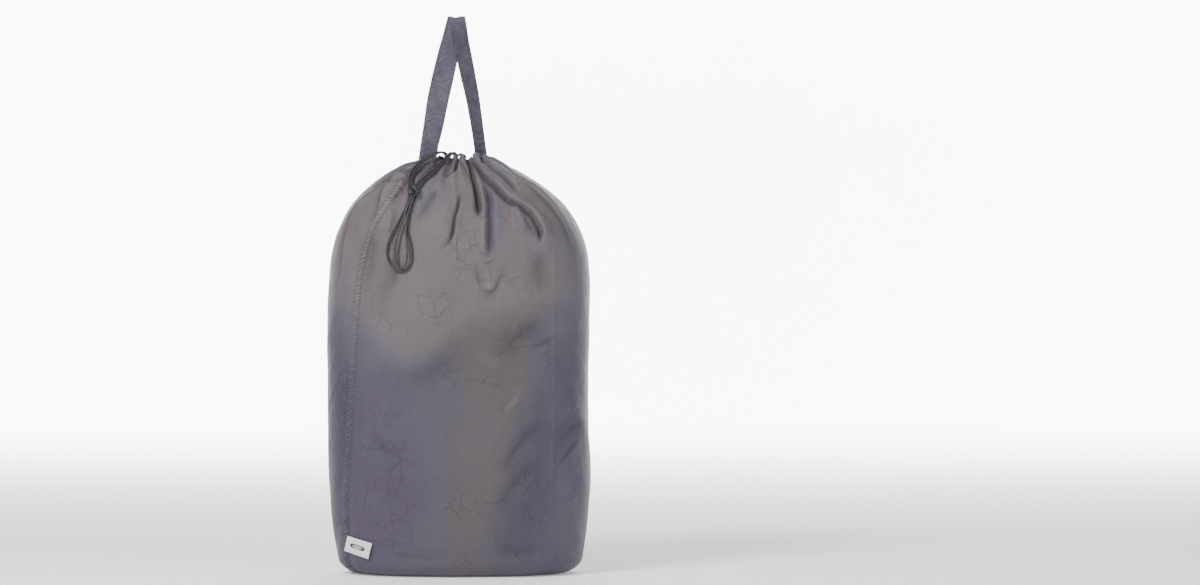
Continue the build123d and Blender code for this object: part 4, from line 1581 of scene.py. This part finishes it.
RIGHT_BIGHT = (
    (-4.2, -24.0, EXIT_TOP),
    (-5.2, -27.6, 720.2),
    (-10.4, -35.2, 722.4),
    (-18.0, -49.4, 713.0),
    (-30.2, -68.6, 699.0),
    (-44.8, -83.2, 685.4),
    (-57.2, -94.4, 674.4),
    (-66.4, -106.2, 663.0),
    (-73.8, -118.9, 643.4),
    (-79.6, -124.1, 626.0),
    (-86.6, -130.0, 606.6),
    (-93.0, -134.1, 588.0),
    (-98.4, -136.8, 569.6),
    (-100.0, -139.5, 551.0),
    (-98.8, -141.7, 538.2),
    (-96.6, -142.9, 529.0),
    (-91.4, -144.1, 523.2),
    (-85.0, -145.1, 524.0),
    (-80.4, -145.5, 531.0),
    (-78.6, -145.1, 541.4),
    (-78.2, -143.6, 553.6),
    (-79.4, -141.2, 567.4),
    (-82.2, -136.9, 586.4),
    (-80.6, -131.2, 606.0),
    (-75.2, -124.9, 625.6),
    (-69.4, -118.9, 643.6),
    (-62.2, -106.4, 664.0),
    (-53.2, -96.6, 673.0),
    (-41.2, -85.8, 683.6),
    (-26.0, -70.6, 698.0),
    (-13.8, -51.2, 712.4),
    (-5.8, -37.0, 722.2),
    (-1.0, -29.0, 720.8),
    (0.2, -24.0, EXIT_TOP),
)


@dataclass
class Drawstring:
    """The black cord: what peeps out of the casing, the two knotted bights and their knot."""

    cord: bpy.types.Material
    thread: bpy.types.Material
    diameter: float = 0.004
    left_length: float = 0.5896
    right_length: float = 0.5583
    knot_lobe: float = 0.0036
    knot_ring: float = 0.0060
    knot_flat: float = 0.0044
    knot_axis: tuple[float, float, float] = (-4.5, -13.0, -20.0)
    edge_width: float = 0.0014
    edge_stitches: int = 34
    exit_depth: float = -24.0
    exit_levels: tuple[float, ...] = (703.0, 709.0, 714.8)
    # Two short stretches of the casing's cord that show between the gathers at the rim
    rim_arcs: tuple[tuple[tuple[float, float, float], ...], ...] = (
        (
            (-3, -30, 702), (-1, -32, 713), (5, -31, 719), (11, -29, 718.4),
            (15, -27, 714.6), (10, -27, 711), (2, -30, 706), (-4, -32, 700),
        ),
        ((-33, -28, 703), (-32, -31, 711), (-28, -32, 714.5), (-22, -31, 712), (-18, -28, 704)),
    )

    def build(self) -> None:
        """Make every stretch of the cord, then the knot."""
        knot = self._knot()
        for name, route, length in (
            ("left", LEFT_BIGHT, self.left_length),
            ("right", RIGHT_BIGHT, self.right_length),
        ):
            line = nurbs_points(in_metres(route))
            bight = self._tube_piece(f"{name}_cord_bight", [line])
            dress(bight, "cord_tails", f"{name}_bight")
            LOG.info("%s bight: %d points", name, len(line))
        ends = [place[0] for route in (LEFT_BIGHT, RIGHT_BIGHT) for place in (route[0], route[-1])]
        stubs = tuple(tuple((x, self.exit_depth, z) for z in self.exit_levels) for x in ends)
        arcs = [smooth_line(np.array(arc, float) * MM, 10) for arc in stubs + self.rim_arcs]
        casing = self._tube_piece("casing_cord_run", arcs + [self._ring_line()])
        dress(casing, "bag", "casing_cord")
        self._buttonholes()

    def _tube_piece(self, name: str, lines: list[np.ndarray]) -> bpy.types.Object:
        """One piece of cord along one or more lines.

        Args:
            name: the piece's name.
            lines: the points of each line.

        Returns:
            The new object.
        """
        points, faces, crowns = [], [], []
        for line in lines:
            part, quads, crown = tube(line, self.diameter / 2)
            start = sum(len(p) for p in points)
            points.append(part)
            faces += [[index + start for index in face] for face in quads]
            crowns.append(crown)
        piece = mesh_piece(name, np.vstack(points), faces, self.cord)
        set_value(piece, "crown", np.concatenate(crowns))
        return piece

    def _ring_line(self) -> np.ndarray:
        """The stretch that lies in the casing, once round the mouth.

        Returns:
            Its points.
        """
        low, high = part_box("casing_cord")
        middle = ((low.x + high.x) / 2, (low.y + high.y) / 2, low.z + self.diameter / 2)
        half = ((high.x - low.x - self.diameter) / 2, (high.y - low.y - self.diameter) / 2)
        turn = np.linspace(0, 2 * math.pi, 160, endpoint=False)
        x, y = middle[0] + half[0] * np.cos(turn), middle[1] + half[1] * np.sin(turn)
        return np.stack([x, y, np.full_like(turn, middle[2])], axis=1)

    def _knot(self) -> bpy.types.Object:
        """The overhand knot: the doubled cord wound through itself as a flat trefoil.

        Returns:
            The new object.
        """
        low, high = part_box("drawstring_knot")
        middle = np.array((low + high) / 2)
        axis = np.array(self.knot_axis)
        axis /= np.linalg.norm(axis)
        side = np.cross(axis, [0.0, 0.0, 1.0])
        side /= np.linalg.norm(side)
        up = np.cross(side, axis)
        lines = []
        turn = np.linspace(0, 2 * math.pi, 260)
        for phase, slide, scale in ((0.0, -0.0022, 1.0), (0.5, 0.0026, 0.94)):
            radius = scale * (self.knot_ring + self.knot_lobe * np.cos(3 * turn))
            flat = self.knot_flat * np.sin(3 * turn) + slide
            lines.append(
                middle
                + (radius * np.cos(2 * turn + phase))[:, None] * side
                + (radius * 0.86 * np.sin(2 * turn + phase))[:, None] * up
                + flat[:, None] * axis
            )
        knot = self._tube_piece("cord_knot", lines)
        dress(knot, "cord_tails", "drawstring_knot")
        return knot

    def _buttonholes(self) -> None:
        """The close thread edging round each cord exit."""
        for name in ("left", "right"):
            low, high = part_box(f"{name}_buttonhole")
            middle = (low + high) / 2
            half = np.array([(high.x - low.x) / 2, (high.y - low.y) / 2, 0.0]) - self.edge_width
            turn = np.linspace(0, 2 * math.pi, self.edge_stitches, endpoint=False)
            out = np.stack([np.cos(turn), np.sin(turn), 0 * turn], axis=1)
            starts = half * out + np.array(middle)
            ends = starts + out * self.edge_width
            ups = np.tile([0.0, 0.0, 1.0], (len(turn), 1))
            points, quads, caps = stitch_mesh(starts, ends, ups, 0.00028)
            faces = quads.tolist() + caps.tolist()
            piece = mesh_piece(f"{name}_buttonhole_edge", points, faces, self.thread)
            dress(piece, "bag", f"{name}_buttonhole")


@dataclass
class CarryStrap:
    """The carrying strap: one folded strip of the bag's cloth that stands over the mouth.

    Stations run from the left end over the folded top to the right end, in millimetres: left edge,
    right edge, how far back, and up.
    """

    cloth: bpy.types.Material
    thread: bpy.types.Material
    stations: tuple[tuple[float, float, float, float], ...] = (
        (-69.0, -37.0, 0.0, 704.0),
        (-66.5, -35.0, 0.0, 718.0),
        (-64.5, -33.0, 0.2, 733.0),
        (-59.5, -25.0, 0.6, 765.0),
        (-52.6, -14.8, 1.2, 814.0),
        (-44.0, -5.6, 1.6, 855.0),
        (-35.5, 1.5, 1.8, 890.0),
        (-28.0, 6.5, 1.8, 917.0),
        (-20.8, 11.2, 1.8, 944.0),
        (-18.0, 13.2, 1.5, 954.0),
        (-17.2, 13.6, 0.0, 957.2),
        (-14.6, 14.0, -1.5, 954.0),
        (-11.0, 16.0, -2.0, 944.0),
        (-7.8, 19.6, -2.0, 917.0),
        (-2.5, 25.0, -2.0, 890.0),
        (5.0, 31.6, -1.8, 855.0),
        (14.6, 38.6, -1.2, 814.0),
        (23.5, 45.0, -0.6, 765.0),
        (28.2, 49.2, -0.2, 733.0),
        (29.6, 51.4, 0.0, 718.0),
        (30.0, 54.0, 0.0, 704.0),
    )
    thickness: float = 0.0016
    step: float = 0.0012
    columns: int = 27
    stitch_inset: float = 0.0032
    pucker: float = 0.0009
    bend_from: float = 0.001        # a height above the rim
    bend_to: float = 0.030
    unsewn_rows: int = 14           # at each end, without edge stitches

    def build(self) -> None:
        """Make the strap, its edge stitches and its sewn ends."""
        centre, half, out, along = self._layout()
        grid, normals, share = self._face(centre, half, out, along)
        rows = len(grid)
        front = grid + normals * (self.thickness / 2)
        points, faces = slab(front, normals, self.thickness)
        strap = mesh_piece("carry_strap", points, faces, self.cloth)
        tone, painted_light_and_mottle = self._shades(grid)
        set_value(strap, "tone", np.tile(tone.ravel(), 2))
        set_value(strap, "painted_light_and_mottle", np.tile(painted_light_and_mottle.ravel(), 2))
        across = (share * half[:, None]).ravel()
        set_cloth_map(strap, np.tile(across, 2), np.tile(np.repeat(along, self.columns), 2))
        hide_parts("handle_strap")
        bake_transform(strap)
        lines = []
        for side in (-1, 1):
            for face in (-1, 1):
                place = side * (half - self.stitch_inset)
                row = centre + place[:, None] * np.array([1.0, 0, 0]) + out * face * (self.thickness / 2)
                keep = slice(self.unsewn_rows, rows - self.unsewn_rows)
                lines.append((row[keep], out[keep] * face))
        stitches = stitch_piece("strap_edge_stitches", lines, self.thread, pitch=3.2, radius=0.3)
        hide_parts("handle_thread")
        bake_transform(stitches)
        self._ends()
        LOG.info("strap: %d rows", rows)

    def _layout(self) -> tuple[np.ndarray, np.ndarray, np.ndarray, np.ndarray]:
        """Lay the strap's middle out in even steps.

        Returns:
            Its centre line, half widths, outward directions and arc lengths.
        """
        line = smooth_line(np.array(self.stations, float) * MM, 16)
        centre = np.stack([(line[:, 0] + line[:, 1]) / 2, line[:, 2], line[:, 3]], axis=1)
        lengths = np.concatenate([[0.0], np.cumsum(np.linalg.norm(np.diff(centre, axis=0), axis=1))])
        even = np.arange(0, lengths[-1], self.step)
        middle = np.stack([np.interp(even, lengths, centre[:, k]) for k in range(3)], axis=1)
        half = np.interp(even, lengths, (line[:, 1] - line[:, 0]) / 2)
        ahead = np.gradient(middle, axis=0)
        out = np.cross(ahead, [1.0, 0.0, 0.0])
        out /= np.linalg.norm(out, axis=1, keepdims=True)
        return middle, half, out, even

    def _face(
        self, centre: np.ndarray, half: np.ndarray, out: np.ndarray, along: np.ndarray
    ) -> tuple[np.ndarray, np.ndarray, np.ndarray]:
        """Lay out the strap's middle layer with its puckers.

        Args:
            centre: points of its centre line.
            half: half widths there.
            out: outward directions there.
            along: arc lengths there.

        Returns:
            The grid of points, the outward directions and the place across from -1 to 1.
        """
        share = np.sin(np.linspace(-math.pi / 2, math.pi / 2, self.columns))[None, :]
        across = share * half[:, None]
        run = along[:, None] + 0 * share
        patches = 0.5 + 0.5 * soft_noise(run / 0.035, share + 3, 61)
        uneven = 2.2 * soft_noise(run / 0.012, share * 2, 62)
        herring = np.sin((run + 0.75 * np.abs(across)) / 0.0017 + uneven)
        broad = soft_noise(run / 0.017 + share, share * 1.4 + 8, 63)
        edge = smoothstep((1 - np.abs(share)) / 0.3)
        lift = self.pucker * herring * patches * edge + 0.0016 * broad * edge
        # The right leg is creased down its length, so its inner third turns away
        top = along[-1] / 2
        right = smoothstep((run - top - 0.06) / 0.05)
        rib = 0.0016 * np.exp(-(((share + 0.25) / 0.22) ** 2))
        turned = 0.0030 * smoothstep((-share - 0.35) / 0.65)
        lift = lift + right * (rib - turned)
        grid = centre[:, None, :] + across[..., None] * np.array([1.0, 0, 0])
        grid = grid + out[:, None, :] * lift[..., None]
        normals = np.repeat(out[:, None, :], self.columns, axis=1)
        return grid, normals, share + 0 * run

    def _shades(self, grid: np.ndarray) -> tuple[np.ndarray, np.ndarray]:
        """Tone of the strap, and its brightness with painted light and shade.

        Args:
            grid: points of its middle layer, row by row from the left end to the right one.

        Returns:
            The tone, and a factor of brightness about 1.
        """
        x, z = grid[..., 0], grid[..., 2]
        share = np.abs(np.linspace(-1, 1, self.columns))[None, :]
        tone = 0.40 + 0.14 * soft_noise(z / 0.03 + 5, x / 0.03, 64)
        # Blotches of painted light and shade stand in for small crumples
        painted_light_and_mottle = 0.86 + 0.12 * soft_noise(z / 0.012 + x / 0.02, x / 0.016 + 4, 65)
        # Painted shade along both edges
        painted_light_and_mottle -= 0.16 * smoothstep((share - 0.72) / 0.2)
        # The right leg came out paler than the left under these lights, so painted shade darkens it
        painted_light_and_mottle *= 1 - 0.30 * smoothstep((np.linspace(0, 1, len(grid))[:, None] - 0.5) / 0.06)
        return tone, painted_light_and_mottle

    def _ends(self) -> None:
        """The sewn ends of the strap, tucked in the gathers, with their stitches."""
        for name in ("left", "right"):
            low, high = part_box(f"{name}_strap_end")
            columns, rows = 17, 12
            across = np.linspace(low.x, high.x, columns)
            up = np.linspace(low.z + 0.001, high.z - 0.0004, rows)
            bulge = 1 - np.linspace(-1, 1, columns) ** 2
            grid = np.zeros((rows, columns, 3))
            grid[..., 0] = across[None, :]
            grid[..., 1] = low.y + 0.004 - 0.002 * bulge[None, :]
            grid[..., 2] = up[:, None] - 0.0022 * (1 - bulge[None, :])
            grid[..., 1] -= 0.0007 * np.sin(across / 0.0016)[None, :]
            normals = np.zeros_like(grid)
            normals[..., 1] = -1.0
            points, faces = slab(grid, normals, 0.006)
            end = mesh_piece(f"{name}_strap_root", points, faces, self.cloth)
            set_value(end, "tone", np.full(len(points), 0.5))
            set_value(end, "painted_light_and_mottle", np.ones(len(points)))
            set_cloth_map(end, points[:, 0], points[:, 2])
            dress(end, "bag", f"{name}_strap_end")
            lines = []
            for share in (0.25, 0.75):
                row = grid[int(share * (rows - 1))] + np.array([0.0, -0.0003, 0.0])
                lines.append((row, normals[0]))
            stitches = stitch_piece(f"{name}_end_stitches", lines, self.thread, pitch=2.4, radius=0.3)
            dress(stitches, "bag", f"{name}_end_thread")


@dataclass
class SideLabel:
    """The white woven label, caught in the left seam, with a plain woven oval round five bars."""

    form: BagForm
    tape: bpy.types.Material
    ink: bpy.types.Material
    middle: tuple[float, float] = (-0.165, 0.050)
    length: float = 0.048
    height: float = 0.0275
    tilt: float = -13.8
    thickness: float = 0.0004
    sewn_edge: float = -0.455
    mark_length: float = 0.028
    mark_height: float = 0.008
    mark_proud: float = 0.00025
    mark_thickness: float = 0.0002
    bar_half: tuple[float, float] = (0.0009, 0.0016)
    bar_run: float = 0.0072
    columns: int = 44
    rows: int = 24

    def build(self) -> None:
        """Make the label and its mark."""
        # The sewn edge stops just short of the hinge, to leave the seam's fold room as it turns
        along = np.linspace(self.sewn_edge, 0.5, self.columns)
        up = np.linspace(-0.5, 0.5, self.rows)
        a, b = np.meshgrid(along * self.length, up * self.height)
        grid, normals = self._lay(a, b)
        points, faces = slab(grid, normals, self.thickness)
        label = mesh_piece("woven_side_label", points, faces, self.tape)
        set_cloth_map(label, np.tile(a.ravel(), 2), np.tile(b.ravel(), 2))
        dress(label, "label", "side_label")
        turn = np.linspace(0, 2 * math.pi, 72)
        ring_a = 0.5 * self.mark_length * np.sign(np.cos(turn)) * np.abs(np.cos(turn)) ** 0.55
        ring_b = 0.5 * self.mark_height * np.sign(np.sin(turn)) * np.abs(np.sin(turn)) ** 0.9
        shares = np.array([1.0, 0.83, 0.66])[:, None]
        shapes = [(shares * ring_a, shares * ring_b)]
        wide = np.linspace(-self.bar_half[0], self.bar_half[0], 3)
        tall = np.linspace(-self.bar_half[1], self.bar_half[1], 6)
        for place in np.linspace(-self.bar_run, self.bar_run, 5):
            shapes.append(tuple(np.meshgrid(wide + place, tall)))
        points, faces, start = [], [], 0
        for a, b in shapes:
            mark, mark_normals = self._lay(a, b, self.mark_proud)
            part, quads = slab(mark, mark_normals, self.mark_thickness)
            points.append(part)
            faces.append(quads + start)
            start += len(part)
        oval = mesh_piece("label_oval", np.vstack(points), np.vstack(faces), self.ink)
        dress(oval, "label", "label_mark")
        LOG.info("label: %d x %d points", self.columns, self.rows)

    def _lay(self, a: np.ndarray, b: np.ndarray, proud: float = 0.0) -> tuple[np.ndarray, np.ndarray]:
        """Lay places on the label over the bag's cloth.

        Args:
            a: along the label from its middle.
            b: up the label from its middle.
            proud: extra distance off the label's face.

        Returns:
            Points and outward directions.
        """
        tilt = math.radians(self.tilt)
        x = self.middle[0] + a * math.cos(tilt) - b * math.sin(tilt)
        z = self.middle[1] + a * math.sin(tilt) + b * math.cos(tilt)
        turns = self.form.turn_at(x, z)
        stations = self.form.station_at(z)
        share = a / self.length + 0.5
        points = self.form.smooth(turns, stations)
        normals = self.form.normals(turns, stations)
        wave = 0.0008 * np.sin(b / self.height * 3 + share * 2) * share
        lift = 0.0012 + 0.0022 * share**2 + wave + proud
        return points + normals * lift[..., None], normals


@dataclass(frozen=True)
class SoftBox:
    """One rectangular studio light: where it is, what it points at, its size and its power."""

    name: str
    place: tuple[float, float, float]
    aim: tuple[float, float, float]
    size: tuple[float, float]
    watts: float

    def build(self) -> None:
        """Hang the light and turn it to its aim."""
        light = bpy.data.lights.new(self.name, "AREA")
        light.shape = "RECTANGLE"
        light.size, light.size_y = self.size
        light.energy = self.watts
        lamp = bpy.data.objects.new(self.name, light)
        lamp.location = self.place
        lamp.rotation_euler = (Vector(self.aim) - Vector(self.place)).to_track_quat("-Z", "Y").to_euler()
        bpy.context.scene.collection.objects.link(lamp)


BAG_MIDDLE = (0.0, 0.0, 0.42)


@dataclass
class Studio:
    """A pale floor that sweeps up behind, soft lights and the camera."""

    metres_across: float = 2.0688
    sensor: float = 36.0
    floor_front: float = -9.0
    sweep_start: float = 7.4
    sweep_radius: float = 1.2
    wall_top: float = 9.0
    half_width: float = 12.0
    surround: float = 0.42
    lights: tuple[SoftBox, ...] = (
        SoftBox("key", (-1.7, -2.6, 2.7), BAG_MIDDLE, (1.2, 1.0), 185.0),
        SoftBox("fill", (2.9, -2.2, 1.2), BAG_MIDDLE, (1.2, 1.8), 46.0),
        SoftBox("front", (0.2, -5.0, 1.1), BAG_MIDDLE, (2.0, 1.6), 24.0),
        SoftBox("backdrop_left", (-2.6, 5.6, 4.0), (-1.8, 8.6, 1.0), (3.2, 2.0), 1500.0),
        SoftBox("backdrop_right", (3.6, 5.6, 4.0), (2.8, 8.6, 1.0), (3.2, 2.0), 1500.0),
    )

    def build(self) -> None:
        """Make the floor, lights and camera."""
        self._floor()
        self._lights()
        self._camera()

    def _floor(self) -> None:
        """A floor of matt white acrylic, lit a little from below, with a curved back wall."""
        material, tree, surface = new_material("matt_white_backlit_acrylic")
        solid = add_node(tree, "TexCoord").outputs["Object"]
        mottle = add_node(tree, "TexNoise", None, Vector=solid, Scale=3.0, Detail=2.0)
        light, dark = linear("#fbfbfb"), linear("#f7f7f7")
        mix = add_node(tree, "Mix", {"data_type": "RGBA"}, Factor=mottle.outputs["Fac"], i6=light, i7=dark)
        tree.links.new(mix.outputs[2], surface.inputs["Base Color"])
        surface.inputs["Roughness"].default_value = 0.9
        surface.inputs["Emission Color"].default_value = linear("#ffffff")
        surface.inputs["Emission Strength"].default_value = 0.20
        profile = [(self.floor_front, 0.0), (self.sweep_start, 0.0)]
        for turn in np.linspace(0, math.pi / 2, 13)[1:]:
            out, up = self.sweep_radius * math.sin(turn), self.sweep_radius * (1 - math.cos(turn))
            profile.append((self.sweep_start + out, up))
        profile.append((self.sweep_start + self.sweep_radius, self.wall_top))
        # A hair below zero, so that the base doesn't lie in the floor's own plane
        points = [(x, y, z - 0.0004) for y, z in profile for x in (-self.half_width, self.half_width)]
        faces = grid_faces(len(profile), 2, flip=True)
        floor = mesh_piece("studio_floor", np.array(points), faces, material)

    def _lights(self) -> None:
        """A soft key, a side fill, a front fill, two on the backdrop and an even white surround."""
        for light in self.lights:
            light.build()
        world = bpy.data.worlds.new("studio_surround")
        world.use_nodes = True
        background = world.node_tree.nodes["Background"]
        background.inputs["Color"].default_value = linear("#ffffff")
        background.inputs["Strength"].default_value = self.surround
        bpy.context.scene.world = world

    def _camera(self) -> None:
        """A long lens, level, a little to the right of the bag."""
        data = bpy.data.cameras.new("camera")
        data.lens = self.sensor * DRAWN_FROM / self.metres_across
        data.sensor_width = self.sensor
        camera = bpy.data.objects.new("camera", data)
        camera.location = (DRAWN_BESIDE, -DRAWN_FROM, DRAWN_HEIGHT)
        camera.rotation_euler = (math.radians(90), 0, 0)
        bpy.context.scene.collection.objects.link(camera)
        bpy.context.scene.camera = camera


def main() -> None:
    """Build every sub-assembly round the frame."""
    logging.basicConfig(level=logging.INFO, format="%(name)s: %(message)s")
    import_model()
    cloth = ShotCloth().build()
    strap_cloth = ShotCloth(name="woven_shot_polyester_strap", crinkle_mm=5.0).build()
    thread = SpunThread().build()
    cord = BraidedCord().build()
    tape = WovenTape().build()
    ink = WovenTape(name="woven_black_yarn", colour="#1d1d20", low="#2c2c30").build()
    form = BagForm.from_frame()
    Studio().build()
    Drawstring(cord, thread).build()
    BagBody(form, cloth, thread).build()
    SideSeams(form, cloth, thread).build()
    BaseSeam(cloth, thread).build()
    CarryStrap(strap_cloth, thread).build()
    SideLabel(form, tape, ink).build()


if __name__ == "__main__":
    main()
